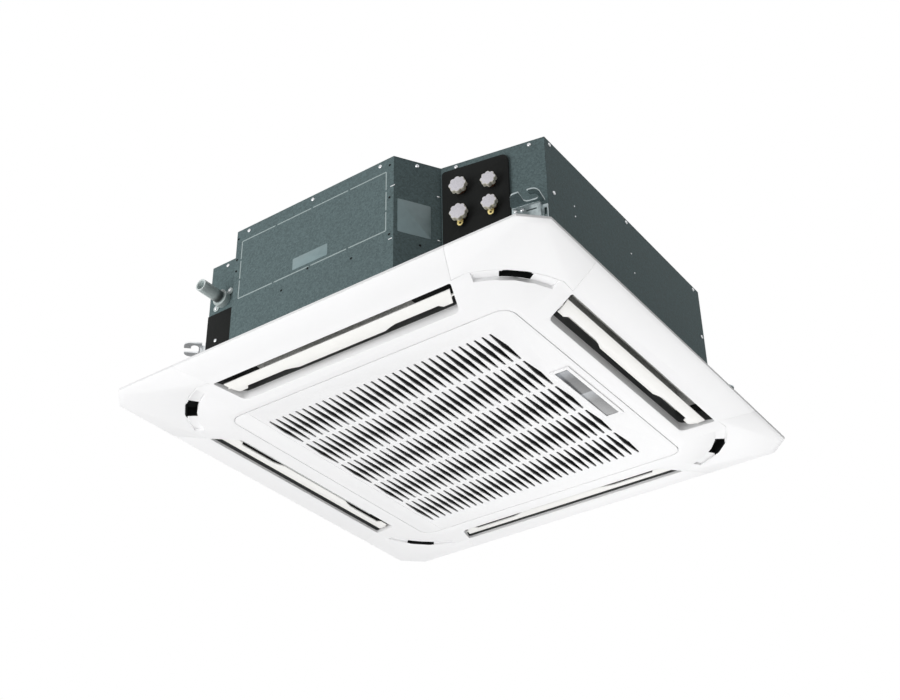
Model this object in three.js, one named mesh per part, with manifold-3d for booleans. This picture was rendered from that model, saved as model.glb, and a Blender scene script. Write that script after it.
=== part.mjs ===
// Ceiling cassette fan coil unit: a square four-way air panel under a sheet-metal casing.
// Millimetres, +Z up. The origin is the panel's centre, in the plane of the ceiling's underside.
// The casing's front faces -Y; the display is on the +X side of the grille.

import * as THREE from "three";
import { mergeVertices } from "three/addons/utils/BufferGeometryUtils.js";
import Module from "manifold-3d";

const wasm = await Module();
wasm.setup();

// ---------------------------------------------------------------- driving dimensions

const GAP = 0.3; // between pieces that touch each other

// Flats round a round surface: large, middling and small ones
const LARGE = 28;
const MIDDLE = 16;
const SMALL = 10;

// Panel
const PANEL_SIDE = 950;
const PANEL_CORNER_CUT = 40;
const PANEL_RIM = 5; // height of the outer edge below the ceiling
const PANEL_WALL = 3;
const PANEL_DROP = 34; // flat middle of the panel below the ceiling
const EDGE_ROLL = 9; // width of the rolled outer edge
const EDGE_ROLL_DROP = 9;
const SHOULDER_DROP = 20; // where the outer flange meets the raised middle
const SHOULDER_RADIUS = 163;
const CORNER_STEPS = 5;

// Air outlets of the panel
const OUTLET_INNER = 345; // distance of the inner edge from the centre
const OUTLET_OUTER = 407;
const OUTLET_INNER_HALF = 238; // half length along the inner edge
const OUTLET_OUTER_HALF = 263;
const OUTLET_CORNER = 14;
const DUCT_TOP = 7.7; // top of the outlet ducts, above the ceiling

// Curved corner outlets and removable corner covers
const ARC_CENTRE = 247;
const ARC_INNER = 150;
const ARC_OUTER = 171;
const ARC_HALF_ANGLE = 26; // degrees
const ARC_OPEN_HALF_ANGLE = 10;
const ARC_POCKET_DROP = 15; // roof of the shallow ends, below the ceiling
const ARC_DUCT_TOP = 4; // roof of the open middle, above the ceiling
const ARC_WALL = 2;
const COVER_SEAM_X = 300; // where a cover's seam leaves the panel edge

// Return grille
const GRILLE_HALF = 310;
const GRILLE_CORNER = 24;
const GRILLE_SEAM = 2;
const GRILLE_SHEET = 2.5;
const GRILLE_RIM_HEIGHT = 18;
const SLOT_COLUMNS = 32;
const SLOT_ROWS = 5;
const SLOT_PITCH_X = 16;
const SLOT_PITCH_Y = 106;
const SLOT_LENGTH = 98;
const SLOT_WIDTH = 11.5;
const SLOT_END_WIDTH = 4;
const SLOT_FIELD_X = -7; // centre of the slotted field
const GRILLE_RIB = 8; // height of the ribs between the slot rows
const BAND_LINE_X = -267; // groove beside the plain band
const BAND_LINE_WIDTH = 1.6;
const BAND_LINE_DEPTH = 0.6;
const HINGE_INSET = 18; // hinge axis from the grille's edge
const HINGE_RISE = 4; // and from its face
const HINGE_PIN_R = 2;
const HINGE_PLAY = 0.35;
const HINGE_PIN_Y = 314; // outer end of a hinge pin

// Grille latches
const LATCH_Y = 180;
const LATCH_LENGTH = 30;
const LATCH_WIDTH = 18;
const LATCH_HEIGHT = 6;
const LATCH_TONGUE = 8;
const LATCH_TRAVEL = 6;

// Air filter
const FILTER_LENGTH_Y = 560;
const FILTER_WIDTH_X = 506;
const FILTER_FRAME = 9;
const FILTER_THICKNESS = 4;
const FILTER_NET = 0.8;
const FILTER_CELLS_X = 3;
const FILTER_CELLS_Y = 4;

// Display
const DISPLAY_X = 276;
const DISPLAY_Y = 5;
const DISPLAY_WINDOW = [25, 185];
const DISPLAY_BEZEL = [40, 199];
const DISPLAY_BODY = [31, 191];
const DISPLAY_PROUD = 2.2;
const DISPLAY_DEPTH = 20;
const LENS_THICKNESS = 2.5;

// Louvres
const LOUVRE_PIVOT = 376.5; // distance of the axis from the centre
const LOUVRE_PIVOT_DROP = 18.5;
const LOUVRE_CHORD = 30;
const LOUVRE_BULGE = 1.8;
const LOUVRE_THICKNESS = 2.6;
const LOUVRE_BLADE_DROP = 1.6; // blade below its axis
const LOUVRE_TILT = 9.6; // degrees at rest, outer edge higher
const LOUVRE_END_GAP = 6;
const LOUVRE_NOTCH_DEPTH = 7.5;
const LOUVRE_NOTCH_FROM = 96; // the narrower ends start here
const LOUVRE_NOTCH_TO = 212;
const LOUVRE_NOTCH_BLEND = 26;
const LOUVRE_PIN_R = 2.2;
const LOUVRE_PIN_PLAY = 0.4;
const MOTOR_R = 11; // louvre motor
const MOTOR_OFFSET = 8; // its case is this far above its shaft
const MOTOR_LENGTH = 17;
const MOTOR_NOSE_R = 4.2;
const MOTOR_PAD = 8; // seat of the motor, beyond the outlet's end

// Casing outline, seen from above
const BODY_X = 398; // half width
const BODY_FRONT = 420;
const BODY_BACK = 420;
const BACK_CHAMFER = 136;
const FRONT_LEFT = -218; // the front wall runs between these
const FRONT_RIGHT = 155;
const DRAIN_WALL = 361; // the set-back wall with the drain, from the centre
const DRAIN_CHAMFER = 61;
const NOTCH_X = 202; // inner corner of the pipe recess
const NOTCH_Y = 342;
const PIPE_CORNER_Y = 305.5; // the pipe plate meets the right wall here
const BODY_BOTTOM = 8;
const BODY_TOP = 296;
const SHEET = 1;
const TOP_FLANGE = 16;

// Knock-out in the front wall
const KNOCKOUT_X = [-204, 138];
const KNOCKOUT_Z = [136, 267];
const KNOCKOUT_SLIT = 3;
const KNOCKOUT_BRIDGE = 4;

// Foam lining and drain pan
const LINER = 12;
const PAN_TOP = 62;
const PAN_TROUGH = 45.7; // level of the trough's floor
const PAN_BORE_R = 212;
const CHANNEL_WALL = 14; // outside the air channels that go up through the pan
const CHANNEL_WIDTH = 32;
const CHANNEL_HALF = 225;
const FRONT_CHANNEL = [-190, 160];

// Fan
const BELL_THROAT_R = 160;
const BELL_NECK_FLARE = 3; // wider than the throat at the foot of its neck
const BELL_NECK_RISE = 22;
const BELL_ROLL_R = 176; // middle of the roll from the flange into the neck
const BELL_ROLL_RISE = 6;
const BELL_FLAT_R = 196; // the flat flange starts here
const BELL_FLANGE_R = 262;
const BELL_THICKNESS = 2.5;
const BELL_HEIGHT = 68;
const IMPELLER_R = 232;
const IMPELLER_INLET_R = 168;
const IMPELLER_BOTTOM = 64;
const IMPELLER_TOP = 232;
const IMPELLER_SHELL = 3;
const SHROUD_BEND_R = 178; // the impeller's lower ring turns outwards here
const SHROUD_BEND_RISE = 20;
const SHROUD_EDGE_RISE = 38;
const IMPELLER_BLADES = 7;
const BLADE_INNER_R = 140;
const BLADE_SWEEP = 38; // degrees that a blade falls back
const BLADE_THICKNESS = 5;
const HUB_R = 78;
const HUB_DEPTH = 44;
const HUB_TAPER = 10; // its floor is this much smaller in radius
const SHAFT_R = 6;
const SHAFT_PLAY = 0.35;
const SHAFT_END = 16; // shaft below the hub's floor
const SHAFT_NUT = 9; // height of the nut
const SHAFT_NUT_R = 10.5;
const SHAFT_SEAT = 12; // shaft's end below the motor's top
const FAN_MOTOR_R = 66;
const FAN_MOTOR_NOSE_R = 54; // its lower half, inside the hub
const FAN_MOTOR_BEARING_R = 26;
const FAN_MOTOR_CONE = 10; // height of the cone round its bearing
const FAN_MOTOR_SKIRT = 6; // its full radius starts this far above the impeller
const FAN_MOTOR_EDGE = 6;
const FAN_MOTOR_FOOT_R = 7;
const FAN_MOTOR_BOTTOM = 205;
const FAN_MOTOR_TOP = 268;

// Coil
const COIL_CLEARANCE = 17; // from the coil to the air channels
const COIL_THICKNESS = 45;
const COIL_OUTER_RADIUS = 85;
const COIL_BOTTOM = 46;
const COIL_TOP = 250;
const COIL_END_X = 150; // end of the coil on the front side
const COIL_END_Y = -235; // end of the coil on the right side
const COIL_ROWS = 3; // concentric rows of fins and tubes
const COIL_ROW_THICKNESS = 2.5;
const COIL_PLATE = 2;
const COIL_PLATE_LIP = 5;

// Water pipes: [along the pipe plate, height] of the cooling and heating pairs
const COOLING_ALONG = 41;
const HEATING_ALONG = 99;
const COOLING_HEIGHTS = [169, 229];
const HEATING_HEIGHTS = [171, 222];
const COOLING_PIPE_R = 10;
const HEATING_PIPE_R = 8;
const PIPE_REACH = 15; // pipe end beyond the pipe plate
const CAP_LENGTH = 9;
const CAP_WALL = 5.4;
const CAP_END = 3; // thickness of its closed end
const CAP_LOBES = 8;
const CAP_LOBE = 1.4; // depth of the hollows between its ribs, to each side of its mean radius
const HEADER_BOTTOM = 70;
const HEADER_CAP = 5; // header above its pipe
const BEND_REACH = 12; // return bends beyond the coil's end plate
const BEND_INSET = 12; // from the coil's faces
const BEND_HALF = 4;
const BEND_LENGTH = 18;
const BEND_PITCH = 26;
const BEND_FROM = 18; // above the coil's bottom

// Brass vent tabs behind the lower caps
const TAB_THICKNESS = 2.4;
const TAB_RING = 3.5; // width of the ring round the pipe
const TAB_DROP = 10; // eye below the pipe
const TAB_EYE_R = 5.5;

// Foam pads
const PIPE_FOAM_ALONG = [4, 131];
const PIPE_FOAM_Z = [40, 280];
const FOAM = 5;
const FOAM_CORNER = 13;
const DRAIN_FOAM_X = [-334, -224];
const DRAIN_FOAM_Z = [40, 176];

// Drain: pump, float, hose and stub
const PUMP_X = -225;
const PUMP_Y = -225;
const PUMP_R = 24;
const PUMP_BOTTOM = 50;
const PUMP_HEIGHT = 66;
const SUMP_HALF = 42;
const FLOAT_X = -205;
const FLOAT_Y = -254;
const FLOAT_R = 9;
const FLOAT_HEIGHT = 14;
const FLOAT_STEM_R = 3;
const FLOAT_TRAVEL = 12;
const FLOAT_PLAY = 0.35;
const HOSE_R = 10;
const HOSE_CREST = 265;
const HOSE_INSET = 27; // its drop behind the drain wall
const STUB_X = -300;
const STUB_Z = 205;
const STUB_R = 12.5;
const STUB_COLLAR = 5; // its collar stands this far out round it
const STUB_BORE_R = 9.5;
const STUB_LENGTH = 64;
const STUB_INSIDE = 15; // its length inside the casing
const STUB_EARS = 22; // from its axis to the two screws, up to the right and down to the left
const STUB_EAR_R = 7;
const STUB_EAR_ANGLE = 40; // degrees

// Hanger lugs for the suspension rods
const ROD_X = 390;
const ROD_Y = 340;
const LUG_FRONT_Z = 142;
const LUG_BACK_Z = 80;
const LUG_SHEET = 3;
const LUG_TIP = 21; // jaw plate beyond the rod
const LUG_SIDES = [-46, 15]; // jaw plate to each side of the rod
const LUG_TAPER = 11; // the jaw plate is this much narrower at its tip
const LUG_TAPER_FROM = -8; // the taper starts here, seen from the rod
const LUG_ROUND = 11;
const LUG_SLOT = 15; // width of the hooked slot
const LUG_MOUTH = -12; // the slot's mouth beside the rod
const LUG_STAND = 18; // front plate off the casing
const LUG_LAND = 3; // least jaw plate between the front plate and the slot
const LUG_DROP = 44; // front plate below the jaw plate
const LUG_FRONT_END = 5; // end of the front plate beside the rod; its flange goes on
const LUG_SLIT = [19, 2.5]; // slit across the front plate
const LUG_SLIT_AT = [-10.5, -13]; // beside the rod and below the jaw
const LUG_HOLES = [
  [-39, -8],
  [-27, -9],
];
const LUG_HOLE_R = 2.6;
const LUG_FLANGE_SLOT = [4, 14];
const LUG_FLANGE_SLOT_DROP = 12;

// Control box, in the pan's underside
const BOX_X = [-276, -224];
const BOX_HALF_Y = 150;
const BOX_HEIGHT = 42;
const BOX_WALL = 1.5;
const BOARD_THICKNESS = 2;
const BOARD_HEIGHT = 24; // of its tallest part

// Cable grommet
const GROMMET_Y = 150;
const GROMMET_Z = 150;
const GROMMET_R = 15;
const GROMMET_BORE_R = 8;

// ---------------------------------------------------------------- derived places

const PANEL_HALF = PANEL_SIDE / 2;
const SHOULDER_HALF = OUTLET_OUTER + PANEL_WALL;
const PLATEAU_HALF = OUTLET_INNER - 5;
const PLATEAU_RADIUS = SHOULDER_RADIUS - (SHOULDER_HALF - PLATEAU_HALF);
const OPENING_HALF = GRILLE_HALF + GRILLE_SEAM;
const OPENING_CORNER = GRILLE_CORNER + GRILLE_SEAM;
const GRILLE_TOP = -PANEL_DROP + GRILLE_RIM_HEIGHT;
const GRILLE_BACK = -PANEL_DROP + GRILLE_SHEET;
const HINGE_X = GRILLE_HALF - HINGE_INSET;
const HINGE_Z = -PANEL_DROP + HINGE_RISE;
const FILTER_BOTTOM = GRILLE_BACK + GRILLE_RIB + GAP;
const PAN_BOTTOM = BODY_BOTTOM + GAP;
const TOP_INSIDE = BODY_TOP - SHEET;
const LINER_INSET = 2 * (SHEET + GAP);
const CHANNEL_OUTER = BODY_X - CHANNEL_WALL;
const CHANNEL_INNER = CHANNEL_OUTER - CHANNEL_WIDTH;
const COIL_OUTER = CHANNEL_INNER - COIL_CLEARANCE;
const COIL_INNER = COIL_OUTER - COIL_THICKNESS;
const COIL_MIDDLE = (COIL_OUTER + COIL_INNER) / 2;
const PIPES_OUT = -(PIPE_REACH + FOAM);
const CAP_BACK = PIPES_OUT - CAP_END - GAP + CAP_LENGTH;

// ---------------------------------------------------------------- shape helpers

const ORIGIN = new THREE.Vector2(0, 0);
const UP = new THREE.Vector3(0, 1, 0);
const DEG = Math.PI / 180;
const xy = (x, y) => new THREE.Vector2(x, y);
const xyz = (x, y, z) => new THREE.Vector3(x, y, z);
const quarterTurn = (k) => new THREE.Matrix4().makeRotationZ((k * Math.PI) / 2);

// A closed triangle surface as a solid, turned round where its faces point inwards.
function solid(geometry) {
  const bare = new THREE.BufferGeometry();
  bare.setAttribute("position", geometry.getAttribute("position"));
  bare.setIndex(geometry.index);
  const merged = mergeVertices(bare, 1e-4);
  const corners = merged.index.array;
  const faces = [];
  for (let i = 0; i < corners.length; i += 3) {
    const [a, b, c] = corners.slice(i, i + 3);
    if (a !== b && b !== c && c !== a) faces.push([a, b, c]);
  }
  const build = (list) =>
    new wasm.Manifold(
      new wasm.Mesh({
        numProp: 3,
        vertProperties: new Float32Array(merged.attributes.position.array),
        triVerts: new Uint32Array(list.flat()),
      }),
    );
  const made = build(faces);
  return made.volume() < 0 ? build(faces.map(([a, b, c]) => [a, c, b])) : made;
}

const asSolid = (shape) => (shape.isBufferGeometry ? solid(shape) : shape);
const join = (...shapes) =>
  shapes.flat().map(asSolid).reduce((a, b) => a.add(b));
const cut = (base, ...tools) =>
  tools.flat().map(asSolid).reduce((a, b) => a.subtract(b), asSolid(base));
const common = (a, b) => asSolid(a).intersect(asSolid(b));

function box(x0, x1, y0, y1, z0, z1) {
  return new THREE.BoxGeometry(x1 - x0, y1 - y0, z1 - z0).translate(
    (x0 + x1) / 2,
    (y0 + y1) / 2,
    (z0 + z1) / 2,
  );
}

// One or more outlines, each a list of points, raised from z0 to z1.
function prism(outline, z0, z1) {
  const outlines = Array.isArray(outline[0]) ? outline : [outline];
  const shapes = outlines.map((points) => new THREE.Shape(points));
  const raised = new THREE.ExtrudeGeometry(shapes, {
    depth: z1 - z0,
    bevelEnabled: false,
  });
  return raised.translate(0, 0, z0);
}

// An outline in the YZ plane, drawn as (y, z), run along X.
function prismAlongX(outline, x0, x1) {
  const axes = new THREE.Matrix4().makeBasis(xyz(0, 1, 0), xyz(0, 0, 1), xyz(1, 0, 0));
  return prism(outline, x0, x1).applyMatrix4(axes);
}

function rod(from, to, radius, sides = MIDDLE) {
  const along = to.clone().sub(from);
  const turn = new THREE.Quaternion().setFromUnitVectors(UP, along.clone().normalize());
  const middle = from.clone().add(to).multiplyScalar(0.5);
  return new THREE.CylinderGeometry(radius, radius, along.length(), sides)
    .applyQuaternion(turn)
    .translate(middle.x, middle.y, middle.z);
}

const upright = (x, y, z0, z1, radius, sides) =>
  rod(xyz(x, y, z0), xyz(x, y, z1), radius, sides);

// A pipe through a list of points, with a ball at each bend.
function pipe(points, radius, sides = SMALL) {
  const runs = points.slice(1).map((to, i) => rod(points[i], to, radius, sides));
  const bends = points
    .slice(1, -1)
    .map((p) => new THREE.SphereGeometry(radius, sides, 4).translate(p.x, p.y, p.z));
  return join(runs, bends);
}

// A profile of (radius, height) pairs turned about the vertical axis.
function spun(profile, sides = LARGE) {
  const points = profile.map(([r, z]) => xy(r, z));
  return new THREE.LatheGeometry(points, sides).rotateX(Math.PI / 2);
}

// Points of a square's four corners, counter-clockwise; t runs from 0 to 1 in each.
function squarePoints(pointAt) {
  const points = [];
  for (let k = 0; k < 4; k++) {
    for (let i = 0; i <= CORNER_STEPS; i++) {
      points.push(pointAt(i / CORNER_STEPS).rotateAround(ORIGIN, (k * Math.PI) / 2));
    }
  }
  return points;
}

function roundedSquare(half, radius) {
  const centre = half - radius;
  return squarePoints((t) => {
    const angle = (t * Math.PI) / 2;
    return xy(centre + radius * Math.cos(angle), centre + radius * Math.sin(angle));
  });
}

const chamferedSquare = (half, chamfer) =>
  squarePoints((t) => xy(half - t * chamfer, half - (1 - t) * chamfer));

// A closed band through rings of equal point counts, the last joined to the first.
function closedLoft(rings) {
  const count = rings[0].points.length;
  const positions = rings.flatMap(({ points, z }) => points.flatMap((p) => [p.x, p.y, z]));
  const index = [];
  rings.forEach((_, r) => {
    const here = r * count;
    const next = ((r + 1) % rings.length) * count;
    for (let i = 0; i < count; i++) {
      const j = (i + 1) % count;
      index.push(here + i, here + j, next + j, here + i, next + j, next + i);
    }
  });
  const geometry = new THREE.BufferGeometry();
  geometry.setAttribute("position", new THREE.Float32BufferAttribute(positions, 3));
  geometry.setIndex(index);
  return geometry;
}

// A counter-clockwise outline moved outwards by a distance, with sharp corners.
function offset(points, distance) {
  return points.map((p, i) => {
    const before = points.at(i - 1);
    const after = points[(i + 1) % points.length];
    const inward = p.clone().sub(before).normalize();
    const onward = after.clone().sub(p).normalize();
    const normalIn = xy(inward.y, -inward.x);
    const normalOn = xy(onward.y, -onward.x);
    const bisector = normalIn.clone().add(normalOn);
    return p.clone().add(bisector.multiplyScalar(distance / (1 + normalIn.dot(normalOn))));
  });
}

// An outline with its corners rounded, one radius for each.
function filleted(points, radii, steps = 3) {
  return points.flatMap((p, i) => {
    if (!radii[i]) return [p];
    const back = points.at(i - 1).clone().sub(p).normalize();
    const on = points[(i + 1) % points.length].clone().sub(p).normalize();
    const half = Math.acos(back.dot(on)) / 2;
    const inwards = back.clone().add(on).normalize();
    const centre = p.clone().add(inwards.multiplyScalar(radii[i] / Math.sin(half)));
    const start = p.clone().add(back.multiplyScalar(radii[i] / Math.tan(half)));
    const turn = (2 * half - Math.PI) * Math.sign(back.cross(on));
    return Array.from({ length: steps + 1 }, (_, k) =>
      start.clone().rotateAround(centre, (turn * k) / steps),
    );
  });
}

// ---------------------------------------------------------------- scene helpers

const unit = new THREE.Group();

function finish(color, roughness, metalness = 0) {
  return new THREE.MeshStandardMaterial({ color, roughness, metalness, flatShading: true });
}

const whitePlastic = finish(0xf2f2f0, 0.45);
const innerPlastic = finish(0xc9c9c4, 0.6);
const blackPlastic = finish(0x1c1d1f, 0.5);
const smokedPlastic = finish(0x2b2e33, 0.15);
const galvanised = finish(0x53605f, 0.5, 0.7);
const zinc = finish(0xb9bec0, 0.35, 0.9);
const blackFoam = finish(0x151616, 0.95);
const whiteFoam = finish(0xeceeee, 0.9);
const capPlastic = finish(0xe9e4dc, 0.55);
const brass = finish(0xc9a34a, 0.35, 0.9);
const copper = finish(0xb4653a, 0.4, 0.9);
const aluminium = finish(0xb9c4c8, 0.4, 0.9);
const hosePlastic = finish(0x9fb0ac, 0.4);
const greenBoard = finish(0x1f5a3a, 0.6);
const filterNet = finish(0x3b4046, 0.8);

// Adds a solid to the scene as a named mesh.
function piece(name, shape, material, parent = unit) {
  const made = asSolid(shape).getMesh();
  const geometry = new THREE.BufferGeometry();
  geometry.setAttribute("position", new THREE.BufferAttribute(made.vertProperties, 3));
  geometry.setIndex(new THREE.BufferAttribute(made.triVerts, 1));
  const mesh = new THREE.Mesh(geometry, material);
  mesh.name = name;
  parent.add(mesh);
  return mesh;
}

// A group in a wall's own frame: X runs along the wall, -Y points out of the casing.
function wallGroup(from, to) {
  const group = new THREE.Group();
  group.position.set(from.x, from.y, 0);
  group.rotation.z = Math.atan2(to.y - from.y, to.x - from.x);
  group.updateMatrix();
  unit.add(group);
  return group;
}

// ---------------------------------------------------------------- panel

const ring = (points, z) => ({ points, z });

// Underside of the panel, from its outer edge to the grille opening.
function undersideRings(lift) {
  return [
    ring(chamferedSquare(PANEL_HALF - lift, PANEL_CORNER_CUT), lift - PANEL_RIM),
    ring(chamferedSquare(PANEL_HALF - EDGE_ROLL, PANEL_CORNER_CUT), lift - EDGE_ROLL_DROP),
    ring(roundedSquare(SHOULDER_HALF, SHOULDER_RADIUS), lift - SHOULDER_DROP),
    ring(roundedSquare(PLATEAU_HALF, PLATEAU_RADIUS), lift - PANEL_DROP),
    ring(roundedSquare(OPENING_HALF, OPENING_CORNER), lift - PANEL_DROP),
  ];
}

function panelShell() {
  const edge = (inset) => ring(chamferedSquare(PANEL_HALF - inset, PANEL_CORNER_CUT), 0);
  return solid(
    closedLoft([
      edge(0),
      ...undersideRings(0),
      ...undersideRings(PANEL_WALL).reverse(),
      edge(PANEL_WALL),
    ]),
  );
}

// Everything that may lie above the panel's underside.
function spaceAbovePanel() {
  const rings = undersideRings(0);
  const first = ring(rings[0].points, DUCT_TOP);
  const last = ring(rings.at(-1).points, DUCT_TOP);
  return solid(closedLoft([first, ...rings, last]));
}

// Outline of the front outlet, grown by a wall. Its outer side faces -Y.
function outletOutline(grow) {
  const corners = [
    xy(-OUTLET_OUTER_HALF, -OUTLET_OUTER),
    xy(OUTLET_OUTER_HALF, -OUTLET_OUTER),
    xy(OUTLET_INNER_HALF, -OUTLET_INNER),
    xy(-OUTLET_INNER_HALF, -OUTLET_INNER),
  ];
  const inner = OUTLET_CORNER + grow;
  const outer = PANEL_WALL + grow;
  return filleted(offset(corners, grow), [outer, outer, inner, inner]);
}

// Half length of an outlet at a distance from the centre.
function outletHalfAt(distance) {
  const share = (distance - OUTLET_INNER) / (OUTLET_OUTER - OUTLET_INNER);
  return OUTLET_INNER_HALF + share * (OUTLET_OUTER_HALF - OUTLET_INNER_HALF);
}

// A stretch of the curved corner outlet in the +X -Y corner.
function cornerSector(r0, r1, halfAngle, z0, z1) {
  const arc = (radius, from, to) =>
    Array.from({ length: CORNER_STEPS }, (_, i) => {
      const angle = (-45 + from + ((to - from) * i) / (CORNER_STEPS - 1)) * DEG;
      return xy(
        ARC_CENTRE + radius * Math.cos(angle),
        -ARC_CENTRE + radius * Math.sin(angle),
      );
    });
  return prism([...arc(r1, -halfAngle, halfAngle), ...arc(r0, halfAngle, -halfAngle)], z0, z1);
}

// Outline of the removable cover in the +X -Y corner.
function coverOutline(grow) {
  const seamRadius = ARC_OUTER + ARC_WALL + GAP;
  const seamHalf = ARC_HALF_ANGLE + 2;
  const arc = Array.from({ length: CORNER_STEPS + 1 }, (_, i) => {
    const angle = (-45 + seamHalf - (2 * seamHalf * i) / CORNER_STEPS) * DEG;
    return xy(
      ARC_CENTRE + seamRadius * Math.cos(angle),
      -ARC_CENTRE + seamRadius * Math.sin(angle),
    );
  });
  const beyond = PANEL_HALF + 5;
  const root = OUTLET_OUTER + PANEL_WALL + 1;
  const rootHalf = outletHalfAt(OUTLET_OUTER) + PANEL_WALL + 1;
  const outline = [
    xy(COVER_SEAM_X, -beyond),
    xy(beyond, -beyond),
    xy(beyond, -COVER_SEAM_X),
    xy(root, -rootHalf),
    ...arc,
    xy(rootHalf, -root),
  ];
  return offset(outline, grow);
}

function cornerCover() {
  return common(panelShell(), prism(coverOutline(-GAP / 2), -PANEL_DROP, DUCT_TOP));
}

// The louvre's end seat and motor seat on the front side, both ends alike.
function louvreSeat(end) {
  const inside = outletHalfAt(LOUVRE_PIVOT) - PANEL_WALL;
  const outside = outletHalfAt(OUTLET_OUTER) - PANEL_WALL / 2;
  const low = -LOUVRE_PIVOT_DROP - MOTOR_NOSE_R;
  const y0 = -LOUVRE_PIVOT - MOTOR_R - 2;
  const y1 = -LOUVRE_PIVOT + MOTOR_R + 2;
  return box(
    Math.min(end * inside, end * outside),
    Math.max(end * inside, end * outside),
    y0,
    y1,
    low - PANEL_WALL * 2,
    low + MOTOR_R + MOTOR_OFFSET,
  );
}

function panelFrame() {
  const sides = [0, 1, 2, 3].map(quarterTurn);
  const around = (make) => sides.map((turn) => make().applyMatrix4(turn));
  const skirt = cut(
    prism(roundedSquare(OPENING_HALF + PANEL_WALL, OPENING_CORNER + PANEL_WALL), -PANEL_DROP, GRILLE_TOP),
    prism(roundedSquare(OPENING_HALF, OPENING_CORNER), -PANEL_SIDE, PANEL_SIDE),
  );
  const ducts = around(() => prism(outletOutline(PANEL_WALL), -PANEL_DROP, DUCT_TOP));
  const arcBlock = (halfAngle, top) =>
    around(() =>
      cornerSector(ARC_INNER - ARC_WALL, ARC_OUTER + ARC_WALL, halfAngle + 1, -PANEL_DROP, top + ARC_WALL),
    );
  const pockets = [
    ...arcBlock(ARC_HALF_ANGLE, -ARC_POCKET_DROP),
    ...arcBlock(ARC_OPEN_HALF_ANGLE, ARC_DUCT_TOP),
  ];
  const seats = [-1, 1].flatMap((end) => around(() => louvreSeat(end)));
  const raised = common(join(ducts, pockets, seats), spaceAbovePanel());
  const pinY = outletHalfAt(OUTLET_OUTER) + MOTOR_PAD;
  const arcHole = (halfAngle, top) =>
    around(() => cornerSector(ARC_INNER, ARC_OUTER, halfAngle, -PANEL_DROP - 1, top));
  const holes = [
    ...around(() => prism(outletOutline(0), -PANEL_SIDE, PANEL_SIDE)),
    ...arcHole(ARC_HALF_ANGLE, -ARC_POCKET_DROP),
    ...arcHole(ARC_OPEN_HALF_ANGLE, ARC_DUCT_TOP),
    ...around(() => prism(coverOutline(GAP / 2), -PANEL_SIDE, PANEL_SIDE)),
    ...around(() =>
      rod(
        xyz(-pinY, -LOUVRE_PIVOT, -LOUVRE_PIVOT_DROP),
        xyz(pinY, -LOUVRE_PIVOT, -LOUVRE_PIVOT_DROP),
        LOUVRE_PIN_R + LOUVRE_PIN_PLAY,
        SMALL,
      ),
    ),
    rod(
      xyz(HINGE_X, -HINGE_PIN_Y - 1, HINGE_Z),
      xyz(HINGE_X, HINGE_PIN_Y + 1, HINGE_Z),
      HINGE_PIN_R + HINGE_PLAY,
      SMALL,
    ),
  ];
  return cut(join(panelShell(), skirt, raised), holes);
}

// One side's quarter of the frame, cut free along the diagonals through the corner outlets.
function panelQuarter(frame, k) {
  const reach = PANEL_SIDE;
  const slip = GAP / Math.SQRT2;
  const wedge = prism(
    [xy(0, -slip), xy(-reach, -reach - slip), xy(reach, -reach - slip)],
    -PANEL_SIDE,
    PANEL_SIDE,
  );
  return common(frame, wedge.applyMatrix4(quarterTurn(k)));
}

// ---------------------------------------------------------------- return grille

const slotXs = Array.from(
  { length: SLOT_COLUMNS },
  (_, i) => SLOT_FIELD_X + (i - (SLOT_COLUMNS - 1) / 2) * SLOT_PITCH_X,
);
const slotYs = Array.from(
  { length: SLOT_ROWS },
  (_, i) => (i - (SLOT_ROWS - 1) / 2) * SLOT_PITCH_Y,
);

// A slot that is widest in the middle and narrow at both ends.
function slotOutline(x, y) {
  const end = SLOT_END_WIDTH / 2;
  const wide = SLOT_WIDTH / 2;
  const half = SLOT_LENGTH / 2;
  return [
    xy(x - end, y - half),
    xy(x + end, y - half),
    xy(x + wide, y),
    xy(x + end, y + half),
    xy(x - end, y + half),
    xy(x - wide, y),
  ];
}

// Walls that hold a latch, open towards the grille's rim.
function latchGuide(y) {
  const x0 = -GRILLE_HALF + PANEL_WALL;
  const x1 = x0 + LATCH_LENGTH + LATCH_TRAVEL + 2 * GAP + 2;
  const half = LATCH_WIDTH / 2 + GAP;
  const top = GRILLE_BACK + LATCH_HEIGHT;
  const bottom = GRILLE_BACK - GRILLE_SHEET / 2;
  return [
    box(x0, x1, y - half - 2, y - half, bottom, top),
    box(x0, x1, y + half, y + half + 2, bottom, top),
    box(x1 - 2, x1, y - half - 1, y + half + 1, bottom, top),
  ];
}

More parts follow.
